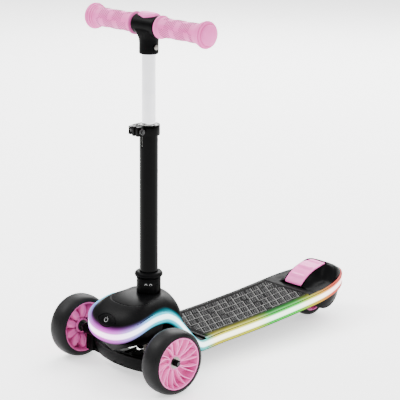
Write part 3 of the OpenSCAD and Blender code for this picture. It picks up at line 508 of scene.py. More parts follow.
BLACK = moulded("black_moulded_plastic", (0.0012, 0.0012, 0.0013), (0.0024, 0.0024, 0.0026),
                0.4, 2600, 0.35, specular=0.025)
SHELL_PLAIN = moulded("black_satin_plastic", (0.0014, 0.0014, 0.0015), (0.0026, 0.0026, 0.0028),
                      0.32, 3200, 0.2, specular=0.02)
# The shell and the strip's black edges carry a painted glow from the strip (emission), added by haloed.
SHELL = haloed(moulded("black_satin_shell_painted_glow", (0.0014, 0.0014, 0.0015), (0.0026, 0.0026, 0.0028),
                       0.34, 3200, 0.2, specular=0.03))
RIM = haloed(moulded("black_satin_edge_painted_glow", (0.0012, 0.0012, 0.0013), (0.0024, 0.0024, 0.0026),
                     0.4, 2600, 0.3, specular=0.03))
PAINT = moulded("black_gloss_paint", (0.0004, 0.0004, 0.0004), (0.0009, 0.0009, 0.0009),
                0.16, 700, 0.05, specular=0.04)
OXIDE = moulded("black_oxide_steel", (0.002, 0.002, 0.002), (0.004, 0.004, 0.004),
                0.2, 1500, 0.1, specular=0.3)
TYRE = moulded("tyre_compound", (0.0030, 0.0030, 0.0032), (0.0052, 0.0052, 0.0056),
               0.46, 1800, 0.4, specular=0.1)
CHROME = moulded("polished_chrome", (0.60, 0.60, 0.62), (0.68, 0.68, 0.70), 0.06, 900, 0.02, metallic=1.0)
STEEL = moulded("zinc_plated_steel", (0.14, 0.13, 0.12), (0.24, 0.23, 0.21), 0.3, 1500, 0.2, metallic=1.0)
HUB_PINK = moulded("pink_hub_plastic", (0.54, 0.07, 0.27), (0.64, 0.10, 0.34),
                   0.3, 1500, 0.1, specular=0.35)
RIB_PINK = moulded("pink_rib_plastic", (0.82, 0.19, 0.50), (0.90, 0.24, 0.58),
                   0.3, 1500, 0.1, specular=0.35)
GRIP_PINK = moulded("pink_grip_rubber", (0.64, 0.09, 0.33), (0.74, 0.125, 0.42),
                    0.5, 2200, 0.4, specular=0.3)
# Darker pink on the grip's beads paints the shade that sits in real dimples: painted shade.
DIMPLE_SHADE_PINK = moulded("pink_grip_dimples_painted_shade", (0.24, 0.025, 0.12), (0.32, 0.04, 0.16),
                      0.5, 2200, 0.2, specular=0.3)
PEDAL_PINK = moulded("pink_pedal_plastic", (0.74, 0.11, 0.41), (0.82, 0.14, 0.47),
                     0.42, 2000, 0.25, specular=0.3)
# The mat's near edge carries the strip's glow as painted emission.
MAT = haloed(moulded("grip_mat_rubber_painted_glow", (0.0012, 0.0012, 0.0013), (0.0030, 0.0029, 0.0030),
                     0.7, 1400, 0.8, cloud=120, specular=0.02))
PRINT = moulded("pale_mat_print", (0.12, 0.12, 0.115), (0.26, 0.26, 0.25), 0.6, 1500, 0.3, cloud=160)
WAVES = moulded("dim_mat_print", (0.010, 0.010, 0.010), (0.026, 0.026, 0.026), 0.6, 1500, 0.3, cloud=160)
MARK = moulded("white_mark", (0.30, 0.30, 0.30), (0.42, 0.42, 0.42), 0.5, 1500, 0.1)
NYLON = moulded("natural_nylon", (0.40, 0.40, 0.38), (0.50, 0.50, 0.47), 0.45, 1500, 0.2)
BOARD = moulded("circuit_board", (0.02, 0.10, 0.04), (0.03, 0.16, 0.06), 0.4, 1200, 0.2)
WRAP = moulded("battery_wrap", (0.02, 0.05, 0.20), (0.03, 0.08, 0.28), 0.3, 900, 0.1)
LIT = lit_diffuser()


# ---------------------------------------------------------------- front housing
def dome_ring(z):
    """Left half of the dome's level outline at height z, from the nose round to the rear."""
    up = max(0.0, (z - hood_z) / (housing_top - hood_z))
    c = math.sqrt(max(0.0, 1 - min(1.0, up) ** 2))
    reach = column_y - nose_y
    kx = shoulder + (1 - shoulder) * c
    kf = crown_r / reach + (hood_front - crown_r / reach) * c
    end = crown_r + (hood_rear - crown_r) * c ** 1.5
    half = side_x(column_y)
    level = min(1.0, (z - foot_z) / (hood_z - foot_z))
    points = []
    for x, y in [p for p in HALF if p[1] < column_y - 1]:
        top = (x * kx, column_y + (y - column_y) * kf)
        points.append((x + (top[0] - x) * level, y + (top[1] - y) * level))
    for i in range(33):
        b = math.pi / 2 * i / 32
        cb, sb = max(0.0, math.cos(b)), math.sin(b)
        top = (half * kx * cb ** (2 / hood_power), column_y + end * sb ** (2 / hood_power))
        low = (half * cb ** 0.25, column_y + (deck_front_y - column_y) * sb ** 0.25)
        points.append((low[0] + (top[0] - low[0]) * level, low[1] + (top[1] - low[1]) * level))
    return points


def housing_shell():
    """The dome: a sheet from the light strip up to the column socket, with one fine seam."""
    columns = len(dome_ring(hood_z))
    nose_columns = len([p for p in HALF if p[1] < column_y - 1])
    starts = []
    for j in range(columns):
        z = hood_z
        for _ in range(40):
            z = 0.5 * z + 0.5 * (wave(dome_ring(z)[j][1]) + strip_h / 2 - 0.3)
        starts.append(z)
    seam, seam_half, rows = 0.62, 0.012, 34
    steps = [(i / rows) ** 1.25 for i in range(rows + 1)]
    steps = sorted(steps + [seam - seam_half, seam, seam + seam_half])
    sheet_rows, places = [], []
    for s in steps:
        row, marks = [], []
        for j in range(columns):
            z = starts[j] + (housing_top - 0.05 - starts[j]) * math.sin(math.pi / 2 * s)
            x, y = dome_ring(z)[j]
            if j < nose_columns:
                aside, along = math.dist((x, y), HALF[j]), RUN[j]
                drop = z - wave(HALF[j][1]) - strip_h / 2
            else:
                aside, along = half_width(y) - x, along_at(y)
                drop = z - wave(y) - strip_h / 2
            # How far the point lies from the strip sets how much of the strip's glow is painted on the shell.
            away = math.hypot(max(0.0, drop), max(0.0, aside - 5) * 0.8)
            marks.append((along, min(2.0, away / HALO_REACH)))
            if s == seam:
                near = max(0.0, 1 - (j / (0.42 * columns)) ** 4)
                x, y, z = x * (1 - 0.012 * near), y + (column_y - y) * 0.012 * near, z - 0.5 * near
            row.append((x, y, z))
        sheet_rows.append(row)
        places.append(marks)
    crown = []
    for x, y, z in sheet_rows[-1]:
        away = math.hypot(x, y - column_y)
        crown.append((x * socket_r / away, column_y + (y - column_y) * socket_r / away, housing_top - 0.05))
    sheet_rows.append(crown)
    places.append([(0.0, 2.0)] * columns)
    brim = []
    for j, (x, y, z) in enumerate(sheet_rows[0]):
        if j < nose_columns:
            there = HALF[j]
            brim.append((there[0] * 0.997, column_y + (there[1] - column_y) * 0.997,
                         wave(there[1]) + strip_h / 2 + 0.1))
        else:
            brim.append((x, y, z - 0.3))
    sheet_rows.insert(0, brim)
    places.insert(0, [(along, 0.0) for along, _ in places[0]])
    full = [row + [(-x, y, z) for x, y, z in reversed(row)][1:-1] for row in sheet_rows]
    marks = [row + list(reversed(row))[1:-1] for row in places]
    points, faces = grid([row + [row[0]] for row in full])
    uvs = [mark for row in marks for mark in row + [row[0]]]
    shell = solid("housing_shell", points, faces, SHELL, 40, uvs)
    mod = shell.modifiers.new("wall", "SOLIDIFY")
    mod.thickness, mod.offset = 2.4 * MM, -1
    applied(shell)
    clean(shell.data, 40)
    return publish(shell, "chassis", ["front_housing"])


def at_button(x, y, z):
    """A place on the button, from across, up and proud of its face."""
    centre = middle("mode_button")
    tilt = math.radians(59)
    face = Vector((0, -math.sin(tilt), math.cos(tilt)))
    up = Vector((0, math.cos(tilt), math.sin(tilt)))
    return centre + Vector((x, 0, 0)) + up * y + face * z


def lens_ring(width, height, proud, n=48):
    """A pointed oval made of two equal arcs, at a height above the button's face."""
    r = (width ** 2 + height ** 2) / (4 * height)
    reach = math.asin(width / 2 / r)
    ring = []
    for side in (1, -1):
        for i in range(n // 2):
            a = (-reach + 2 * reach * i / (n // 2)) * side
            ring.append(at_button(r * math.sin(a), side * (height / 2 - r + r * math.cos(a)), proud))
    return ring


def mode_button():
    rings = [lens_ring(45.2 * s, 21.2 * s, p) for s, p in
             ((1, -3), (1, 0.9), (0.97, 1.6), (0.85, 2.1), (0.6, 2.5), (0.3, 2.7), (0.06, 2.75))]
    points, faces = loft(rings)
    publish(solid("button_lens", points, faces, BLACK), "mode_button", ["mode_button"])
    ring = [at_button(4.2 * math.sin(a), 4.2 * math.cos(a), 2.55)
            for a in [math.radians(35 + 290 * i / 30) for i in range(31)]]
    bar = [at_button(0, 2.0, 2.7), at_button(0, 5.6, 2.55)]
    edges = [(i, i + 1) for i in range(30)] + [(31, 32)]
    mark = grown("button_mark", PIPING, ring + bar, edges, [],
                 {"Radius": 0.45 * MM, "Sides": 8, "Material": MARK})
    publish(mark, "mode_button")


# ---------------------------------------------------------------- light strip
def swept(name, path, section, material, nodes):
    """Sweeps a section of (out, up, v) corners along a path of (x, y, along) places."""
    rings, uvs = [], []
    for i, (x, y, along) in enumerate(path):
        ahead, behind = path[min(i + 1, len(path) - 1)], path[max(i - 1, 0)]
        run = Vector((ahead[0] - behind[0], ahead[1] - behind[1])).normalized()
        line, out = Vector((x, y, wave(y))), Vector((run.y, -run.x, 0))
        ring = [line + out * o + Vector((0, 0, u)) for o, u, _ in section]
        rings.append([(p.x, max(nose_y + 0.05, min(tail_y - 0.05, p.y)), p.z) for p in ring])
        uvs.extend((along, v) for _, _, v in section)
    points, faces = loft(rings)
    return publish(solid(name, points, faces, material, 40, uvs), "chassis", nodes)


def light_strip():
    """The three lit strips, and the black edges beside them with the strips' glow painted on."""
    left = [(x, y, a) for (x, y), a in zip(HALF, RUN)]
    right = [(-x, y, a) for x, y, a in left]
    joint = len([p for p in left if p[1] <= deck_front_y])
    front = list(reversed(right[:joint]))[:-1] + left[:joint]
    rear_left, rear_right = left[joint - 1:], list(reversed(right[joint - 1:]))
    n, half = 14, strip_h / 2
    lens = [(-0.1 - 0.5 * abs(2 * k / n - 1) ** 4, (k / n - 0.5) * strip_h, k / n) for k in range(n + 1)]
    lens += [(-strip_t, half, 1.0), (-strip_t, -half, 0.0)]
    swept("front_strip", front, lens, LIT, ["front_light"])
    swept("left_strip", rear_left, lens, LIT, ["left_light"])
    swept("right_strip", rear_right, lens, LIT, ["right_light"])
    far = 20 / HALO_REACH
    # In these edge sections the third value sets how strongly the strip's glow is painted there.
    top = [(-0.4, half - 0.05, 0.0), (0.2, half + 0.02, 0.01), (0.2, half + 1.3, 0.07),
           (-0.5, half + 2.4, 0.14), (-1.6, half + 2.78, 0.18), (-4.4, half + 2.8, 0.27),
           (-7.1, half + 2.8, 0.36), (-7.1, half + 0.8, far), (-3.5, half + 0.1, far)]
    low = [(o, -u, v / HALO_REACH) for o, u, v in
           ((-0.4, half + 0.05, 0.0), (0.2, half + 0.4, 0.3), (0.25, half + 1.6, 1.6),
            (0.2, half + 3.4, 3.4), (-0.6, half + 4.7, 5.0), (-4.5, half + 4.8, 8.2), (-9, half + 4.8, 11.7))]
    low += [(-9, -half - 1.5, far), (-3.5, -half - 0.1, far)]
    lip = [(o, -u, v / HALO_REACH) for o, u, v in
           ((-0.5, half + 0.05, 0.0), (-0.1, half + 0.6, 0.5), (-0.4, half + 2.4, 2.2),
            (-2.0, half + 5.0, 5.4), (-4.6, half + 7.0, 8.5), (-7.6, half + 8.0, 11.6))]
    lip += [(-7.6, -half - 6.0, far), (-4.2, -half - 0.1, far)]
    swept("front_lip", front, lip, RIM, [])
    skirt = []
    for x, y, _ in [p for p in front if p[1] < arch_y]:
        base = beam_top + 4.5 + 0.3 * abs(x)
        skirt.append([(x * k, column_y + (y - column_y) * k, z) for k, z in
                      ((0.94, wave(y) - half - 6), (0.80, min(base + 1.2, wave(y) - half - 7)),
                       (0.785, min(base, wave(y) - half - 8)), (0.77, min(base + 1.2, wave(y) - half - 7)),
                       (0.91, wave(y) - half - 5))])
    points, faces = loft(skirt)
    publish(solid("front_skirt", points, faces, BLACK, 40), "chassis")
    plain = [(o, u, min(far, v * 14)) for o, u, v in top]
    for word, path, edge in (("left", rear_left, top), ("right", rear_right, plain)):
        swept(word + "_deck_edge", path, edge, RIM, [])
        swept(word + "_deck_underedge", path, low, RIM, [])


# ---------------------------------------------------------------- wheels
def tyre(name, centre, radius, rim, width, body, node):
    half, crown, start = width / 2 - 0.1, radius - 0.05, rim + 0.3
    profile = [(-half * 0.93, rim + 0.05)]
    for i in range(41):
        t = -1 + i / 20
        r = start + (crown - start) * max(0.0, 1 - abs(t) ** 2.4) ** 0.42
        profile.append((half * t, max(r, rim + 1.2)))
    profile.append((half * 0.93, rim + 0.05))
    points, faces = turned(profile, centre, "X", 128)
    return publish(solid(name, points, faces, TYRE, 50), body, [node])


def hub_profile(half, rim, boss, deep):
    """Half of a dished hub: lip, barrel, web and boss, mirrored to both faces."""
    side = [(half, rim), (half, rim - 1.3), (half - 0.9, rim - 2.6), (half - 5, rim - 3.6),
            (deep + 2, rim - 5), (deep, rim - 7), (deep, boss + 4), (deep + 1.5, boss + 2),
            (8.0, boss + 1.2), (8.9, boss), (8.9, boss - 2.5)]
    return side + [(-x, r) for x, r in reversed(side)]


def blade(inner, outer, start, finish, top_in, top_out, low, thick, side):
    """One curved rib of a hub, on the face that side names, as a closed strip."""
    rings, n = [], 16
    for i in range(n + 1):
        t = i / n
        r = inner + (outer - inner) * t
        a = math.radians(start + (finish - start) * t ** 1.5)
        top = top_in + (top_out - top_in) * t ** 1.3
        c, s = math.cos(a), math.sin(a)
        across = Vector((0, -s, c)) * thick / 2
        spot = Vector((0, r * c, r * s))
        lift = [(low, 1.3), (top - 0.5, 1.0), (top, 0.55)]
        ring = [spot + across * w + Vector((side * h, 0, 0)) for h, w in lift]
        ring += [spot - across * w + Vector((side * h, 0, 0)) for h, w in reversed(lift)]
        rings.append(ring)
    return loft(rings)


def hub(name, centre, half, rim, boss, pairs, body, node):
    """A dished hub: curved ribs in pairs on the outer face, round lobes on the inner one."""
    deep = 2.5
    face = 1 if centre[0] >= 0 else -1
    points, faces = turned(hub_profile(half, rim, boss, deep), centre, "X", 120)
    publish(solid(name + "_dish", points, faces, HUB_PINK, 40), body, [node])
    opening = 360 / pairs / 4
    ribs = [blade(boss + 1.0, rim - 1.2, lean * opening * 0.35, lean * opening + 13,
                  8.2, half - 0.5, deep - 0.8, 1.7, face) for lean in (-1, 1)]
    points, faces = joined(ribs)
    array = grown(name + "_ribs", RING_ARRAY, points, [], faces,
                  {"Count": pairs, "Material": RIB_PINK}, centre)
    publish(array, body)
    for edge, width in ((rim - 0.9, 1.0), (boss + 0.3, 1.6)):
        at = half - 0.35 if edge > boss + 2 else 8.2
        ring = [(face * at + 0.6 * math.cos(a), edge - width * 0.5 + width * 0.5 * math.sin(a))
                for a in [2 * math.pi * k / 10 for k in range(10)]]
        points, faces = turned(ring, centre, "X", 120)
        word = "_lip" if edge > boss + 2 else "_boss"
        publish(solid(name + word, points, faces, RIB_PINK, 60), body)
    lobe, n = [], 14
    mid, reach = (rim + boss) / 2, (rim - boss) / 2 - 1.5
    for i in range(n + 1):
        a = math.pi * i / n
        wide = max(0.02, math.sin(a)) * mid * math.sin(math.pi / pairs) * 0.92
        swell = (half - deep - 2) * max(0.0, math.sin(a)) ** 0.6
        lobe.append([(-face * (deep - 1 + swell * max(0.0, math.sin(b)) ** 0.7),
                      wide * math.cos(b), mid - reach * math.cos(a))
                     for b in [math.pi * k / 12 for k in range(13)]])
    points, faces = loft(lobe)
    array = grown(name + "_lobes", RING_ARRAY, points, [], faces,
                  {"Count": pairs, "Material": HUB_PINK}, centre)
    publish(array, body)


def wheels():
    for side, word in ((1, "left"), (-1, "right")):
        centre = (side * wheel.x, axle_y, axle_z)
        tyre(word + "_tyre_moulding", centre, front_r, 48, front_w, word + "_wheel", word + "_tyre")
        hub(word + "_hub_moulding", centre, 19, 47.9, 13.5, 10, word + "_wheel", word + "_hub")
    centre = (0, rear.y, rear.z)
    tyre("rear_tyre_moulding", centre, rear_r, 29, rear_w, "rear_wheel", "rear_tyre")
    hub("rear_hub_moulding", centre, 14, 28.9, 13.5, 6, "rear_wheel", "rear_hub")


# ---------------------------------------------------------------- axle beam
def beam_cover():
    """The smooth crescent bar between the front wheels."""
    arc_r, front, rings, n = 210.6, axle_y - 22.6, [], 64
    for i in range(n + 1):
        x = -104 + 208 * i / n
        y = front + arc_r - math.sqrt(arc_r ** 2 - x ** 2)
        lift = ease(0, 1, (abs(x) - 70) / 34)
        high, low = beam_top + 20 * lift, beam_base + 13 * lift
        depth = 15.4
        lean = (high - low) * 0.3
        ring = []
        for k in range(28):
            a = 2 * math.pi * k / 28
            c, s = math.cos(a), math.sin(a)
            u = math.copysign(abs(c) ** 0.55, c)
            v = math.copysign(abs(s) ** 0.45, s)
            z = (high + low) / 2 + (high - low) / 2 * v
            lag = (high - z) / (high - low) * lean * (1 if u > 0 else 0.4)
            ring.append((x, y + depth / 2 - depth / 2 * u + lag, z))
        rings.append(ring)
    points, faces = loft(rings)
    publish(solid("beam_cover", points, faces, BLACK, 60), "truck")


def coil_springs():
    """The two centring springs between the housing and the axle beam."""
    low, high = box_mm("centring_springs")
    turns, wire, per_turn = 5, 1.0, 20
    for side in (-1, 1):
        x = side * (high.x - 6)
        places = []
        for i in range(turns * per_turn + 1):
            a = 2 * math.pi * i / per_turn
            z = low.z + wire + (high.z - low.z - 2 * wire) * i / (turns * per_turn)
            places.append((x + 5 * math.cos(a), (low.y + high.y) / 2 + 5 * math.sin(a), z))
        edges = [(i, i + 1) for i in range(len(places) - 1)]
        coil = grown("centring_coil_" + ("left" if side > 0 else "right"), PIPING, places, edges, [],
                     {"Radius": wire * MM, "Sides": 10, "Material": STEEL})
        publish(coil, "chassis", ["centring_springs"] if side > 0 else [])


# ---------------------------------------------------------------- grip mat
mat_low, mat_high = box_mm("grip_mat")
mat_y0, mat_y1 = mat_low.y + 0.2, mat_high.y - 0.2
mat_front_r, mat_rear_r = 22, 9


def mat_half_width(y):
    """Half width of the mat, with round front corners and slightly rounded rear ones."""
    half = side_x(y) - 7.6
    for gap, radius in ((y - mat_y0, mat_front_r), (mat_y1 - y, mat_rear_r)):
        if gap < radius:
            half -= radius - math.sqrt(max(0.0, radius ** 2 - (radius - gap) ** 2))
    return half


def grip_mat():
    """The rubber sheet in the deck's recess; its near edge has the strip's glow painted on as emission."""
    rows, uvs, across = [], [], 44
    straight = mat_y1 - mat_y0 - (mat_front_r + mat_rear_r)
    ys = [mat_y0 + mat_front_r * (1 - math.cos(math.pi / 2 * i / 12)) for i in range(12)]
    ys += [mat_y0 + mat_front_r + straight * i / 60 for i in range(61)]
    ys += [mat_y1 - mat_rear_r * (1 - math.sin(math.pi / 2 * i / 8)) for i in range(1, 9)]
    for y in ys:
        half = mat_half_width(y)
        top = deck_top(y) + 0.5
        ring = [(half * (2 * k / across - 1), y, top) for k in range(across + 1)]
        ring += [(half, y, top - 2.9), (-half, y, top - 2.9)]
        rows.append(ring)
        # The second value sets how strongly the strip's glow is painted on this point of the mat.
        uvs.extend((along_at(y), min(1.0, 0.08 + (half_width(y) - x) / FLAT_REACH)) for x, _, _ in ring)
    points, faces = loft(rows)
    mat = solid("mat_rubber_sheet", points, faces, MAT, 30, uvs)
    publish(mat, "chassis", ["grip_mat"])


def mat_pattern():
    """A broken lattice of slanted cells printed on the mat, with dim waves inside the cells."""
    lean, pitch, column_w = math.tan(math.radians(30)), 18.5, 22.0

    def drawn(name, strokes, radius, material, margin):
        points, edges = [], []
        for a, b in strokes:
            steps = 6
            for i in range(steps):
                ends = [Vector(a) + (Vector(b) - Vector(a)) * t for t in (i / steps, (i + 1) / steps)]
                if all(mat_y0 + margin < e.y < mat_y1 - margin + 1
                       and abs(e.x) < mat_half_width(e.y) - margin for e in ends):
                    start = len(points)
                    points.extend((e.x, e.y, deck_top(e.y) + 0.5) for e in ends)
                    edges.append((start, start + 1))
        lines = grown(name, PIPING, points, edges, [],
                      {"Radius": radius * MM, "Sides": 6, "Material": material})
        publish(lines, "chassis")

    bright, dim = [], []
    for i in range(-2, 20):
        for j in range(-4, 4):
            x0, x1 = (j + 0.25) * column_w, (j + 1.25) * column_w
            y0 = mat_y0 + i * pitch - x0 * lean
            corner, ahead = Vector((x0, y0)), Vector((0, pitch))
            across = Vector((x1 - x0, (x0 - x1) * lean))
            pick = (i * 7 + j * 11 + i * j * 3) % 10
            if pick not in (2, 7):
                bright.append((corner, corner + across))
            if pick not in (0, 5):
                bright.append((corner, corner + ahead))
            for k in range(3):
                start = corner + ahead * (0.24 + 0.26 * k) + across * 0.12
                step = across * 0.19
                rise = Vector((0, 3.0 if (i + j + k) % 2 else 2.2))
                places = [start + step * m + rise * (m % 2) for m in range(5)]
                dim.extend(zip(places, places[1:]))
    drawn("mat_print_cells", bright, 0.42, PRINT, 7.0)
    drawn("mat_print_waves", dim, 0.50, WAVES, 8.0)


# ---------------------------------------------------------------- brake
pedal_low, pedal_high = box_mm("brake_pedal")
pedal_half = (pedal_high.x - pedal_low.x) / 2
pedal_r, pedal_y = 88, rear.y + 18.5
pedal_z = pedal_high.z - pedal_r


def pedal_top(y, drop=0.0):
    return pedal_z + math.sqrt(max(0.0, (pedal_r - drop) ** 2 - (y - pedal_y) ** 2))


def pedal():
    """The pink brake pedal: a curved plate with three raised pads and a rounded lip."""
    rings, n = [], 76
    first, last = rear.y - 47.9, rear.y + 30.4
    for i in range(n + 1):
        t = i / n
        y = first + (last - first) * t
        tip = min(1.0, min(t, 1 - t) / 0.045)
        tip = math.sqrt(max(0.0, 1 - (1 - tip) ** 2))
        rib = sum(1 / (1 + math.exp((abs(t - place) - size) * 90)) for place, size in
                  ((0.16, 0.035), (0.47, 0.05), (0.84, 0.075)))
        slope = pedal_top(y + 0.5) - pedal_top(y - 0.5)
        thick = 4.2 * (0.35 + 0.65 * tip) * (1 + 0.25 * min(3.0, abs(slope)))
        half = (pedal_half - 0.1) * (0.90 + 0.10 * tip) - 6.0 * max(0.0, t - 0.7) / 0.3
        ring, m = [], 48
        for k in range(m):
            b = 2 * math.pi * k / m
            c, s = math.cos(b), math.sin(b)
            x = half * math.copysign(abs(c) ** 0.3, c)
            depth = thick / 2 * (1 - math.copysign(abs(s) ** 0.5, s))
            raised = 2.4 * min(1.0, rib) / (1 + math.exp((abs(x) - half + 5.5) * 1.8)) if s > 0 else 0
            ring.append((x, y, pedal_top(y) - 2.5 - depth + raised - 1.2 * (1 - tip)))
        rings.append(ring)
    points, faces = loft(rings)
    publish(solid("pedal_moulding", points, faces, PEDAL_PINK, 60), "brake", ["brake_pedal"])


def hump():
    """The black brake housing: scooped cheeks beside the pedal, running out to a smooth tail."""
    first, last, join = rear.y - 48, tail_y - 4.8, rear.y + 33
    gap, arch = pedal_half + 0.9, rear_r + 9.4

    def crest(y):
        """Height of the housing along its middle."""
        top = pedal_top(y, 1.6) if y < join - 10 else 0
        t = max(0.0, (y - join + 10) / (last - join + 10))
        tail = pedal_top(join - 10, 1.6) - (pedal_top(join - 10, 1.6) - deck_top(last)) * t ** 1.75
        return max(deck_top(y) + 0.2, top, tail if t > 0 else 0)

    def inner(y):
        """Half width of the slot under the pedal."""
        return min(gap, (half_width(y) - hump_inset) * 0.5)

    def height(x, y):
        limit = max(1.0, half_width(y) - hump_inset)
        rim_fade = 1 - min(1.0, abs(x) / limit) ** 6
        base = deck_top(y) + 0.15 + 3.5 * ease(0, 1, (y - first) / 24) * rim_fade
        if abs(x) < inner(y) and y < join:
            return max(deck_top(y) + 0.1, rear.z + math.sqrt(max(0.0, arch ** 2 - (y - rear.y) ** 2)))
        scoop = max(0.0, 1 - (abs(x) - inner(y)) / 21) ** 2.3
        t = max(0.0, min(1.0, (abs(x) - inner(y) * 0.7) / max(1.0, limit - inner(y) * 0.7)))
        swell = max(0.0, 1 - t ** 2.3) ** 0.8
        return base + (crest(y) - base) * (scoop + (swell - scoop) * ease(0, 1, (y - rear.y + 2) / 34))

    zones = [-1 + i / 18 for i in range(18)] + [0] + [i / 18 for i in range(1, 19)]
    ys = [first + (join - 0.3 - first) * i / 50 for i in range(51)]
    ys += [join + (last - join) * i / 26 for i in range(27)]
    rows = []
    for y in ys:
        near, limit = inner(y), max(1.0, half_width(y) - hump_inset)
        xs = [math.copysign(near + 0.02 + (limit - near) * (abs(v) ** 1.2), v) for v in zones if v]
        xs += [-near * u for u in (0.999, 0.66, 0.33)] + [0] + [near * u for u in (0.33, 0.66, 0.999)]
        rows.append([(x, y, height(x, y)) for x in sorted(xs)])
    points, faces = grid(rows)
    shoe = middle("brake_shoe")
    kept = []
    for face in faces:
        c = sum((Vector(points[i]) for i in face), Vector()) / 4
        if not (abs(c.x) < 15.9 and abs(c.y - shoe.y) < 9):
            kept.append(face)
    piece = solid("brake_housing", points, kept, SHELL_PLAIN, 40)
    if sum(p.normal.z for p in piece.data.polygons) < 0:
        piece.data.flip_normals()
    mod = piece.modifiers.new("wall", "SOLIDIFY")
    mod.thickness, mod.offset = 1.6 * MM, -1
    applied(piece)
    clean(piece.data, 40)
    publish(piece, "chassis", ["fender"])


def tail_walls():
    """Smooth side walls beside the rear wheel, deepest at the axle."""
    for word, flip in (("left", 1), ("right", -1)):
        rings, n = [], 60
        for i in range(n + 1):
            y = rear.y + (tail_reach - 0.5) * (2 * i / n - 1)
            x, x2 = half_width(y), half_width(y + 0.5)
            out = Vector((0.5, x - x2)).normalized()
            drop = tail_drop * max(0.0, math.cos(math.pi / 2 * (y - rear.y) / tail_reach)) ** 0.6
            top, low = deck_top(y) - 20, deck_top(y) - deck_depth - drop + 0.3
            ring = [(5.4, top), (5.3, (top + low) / 2), (6.4, low + 1.6), (7.6, low),
                    (8.8, low + 0.8), (9.4, top)]
            rings.append([(flip * (x - out.x * inset), y - out.y * inset, z) for inset, z in ring])
        points, faces = loft(rings)
        publish(solid(word + "_tail_wall", points, faces, SHELL_PLAIN, 50), "chassis")


# ---------------------------------------------------------------- handlebar
def t_housing():
    """The black tee: bar sleeve and neck, melted into one moulding."""
    low, high = box_mm("t_housing")
    half, sleeve_r, neck_r = (high.x - low.x) / 2, (high.z - bar_z), 18
    sleeve = [(-half, 0.0), (-half, sleeve_r - 2), (-half + 2, sleeve_r - 0.4), (0, sleeve_r - 0.4),
              (half - 2, sleeve_r - 0.4), (half, sleeve_r - 2), (half, 0.0)]
    drop = bar_z - low.z
    neck = [(-drop, 0.0), (-drop, neck_r - 1.5), (-drop + 1.5, neck_r - 0.4), (-32, neck_r - 0.6),
            (-24, neck_r), (-16, neck_r + 3.5), (-9, neck_r + 8), (0, neck_r - 1), (0, 0.0)]
    centre = (0, column_y, bar_z)
    points, faces = joined([turned(sleeve, centre, "X", 72), turned(neck, centre, "Z", 72)])
    points = [(x, max(column_y - sleeve_r + 0.3, min(column_y + sleeve_r - 0.3, y)), z) for x, y, z in points]
    body = solid("tee_moulding", points, faces, BLACK, 60)
    melt = body.modifiers.new("melt", "REMESH")
    melt.mode, melt.voxel_size = "VOXEL", 1.0 * MM
    soften = body.modifiers.new("soften", "SMOOTH")
    soften.factor, soften.iterations = 0.5, 8
    applied(body)
    clean(body.data, 60)
    publish(body, "upper_bar", ["t_housing"])


def top_cover():
    """Pink cap over the tee, with its front edge drooping to a soft point."""
    low, high = box_mm("top_cover")
    half = (high.x - low.x) / 2 - 0.3
    inner, n, rings = 18.4, 36, []
    outer = high.z - bar_z - 0.2
    for i in range(n + 1):
        u = -1 + 2 * i / n
        x = half * u
        droop = 22 + 20 * (1 - abs(u) ** 1.3)
        back, front = math.radians(90 - 30), math.radians(90 + droop)
        skin, m = [], 24
        for k in range(m + 1):
            a = back + (front - back) * k / m
            fade = max(0.0, 1 - abs(2 * k / m - 1) ** 4) ** 0.5 * max(0.0, 1 - abs(u) ** 5) ** 0.5
            r = inner + 0.9 + (outer - inner - 0.9) * fade * 0.62
            skin.append((x, column_y + r * math.cos(a), bar_z + r * math.sin(a)))
        under = [(x, column_y + inner * math.cos(a), bar_z + inner * math.sin(a))
                 for a in [front + (back - front) * k / m for k in range(m + 1)]]
        rings.append(skin + under)
    points, faces = loft(rings)
    publish(solid("tee_cap", points, faces, PEDAL_PINK, 50), "upper_bar", ["top_cover"])


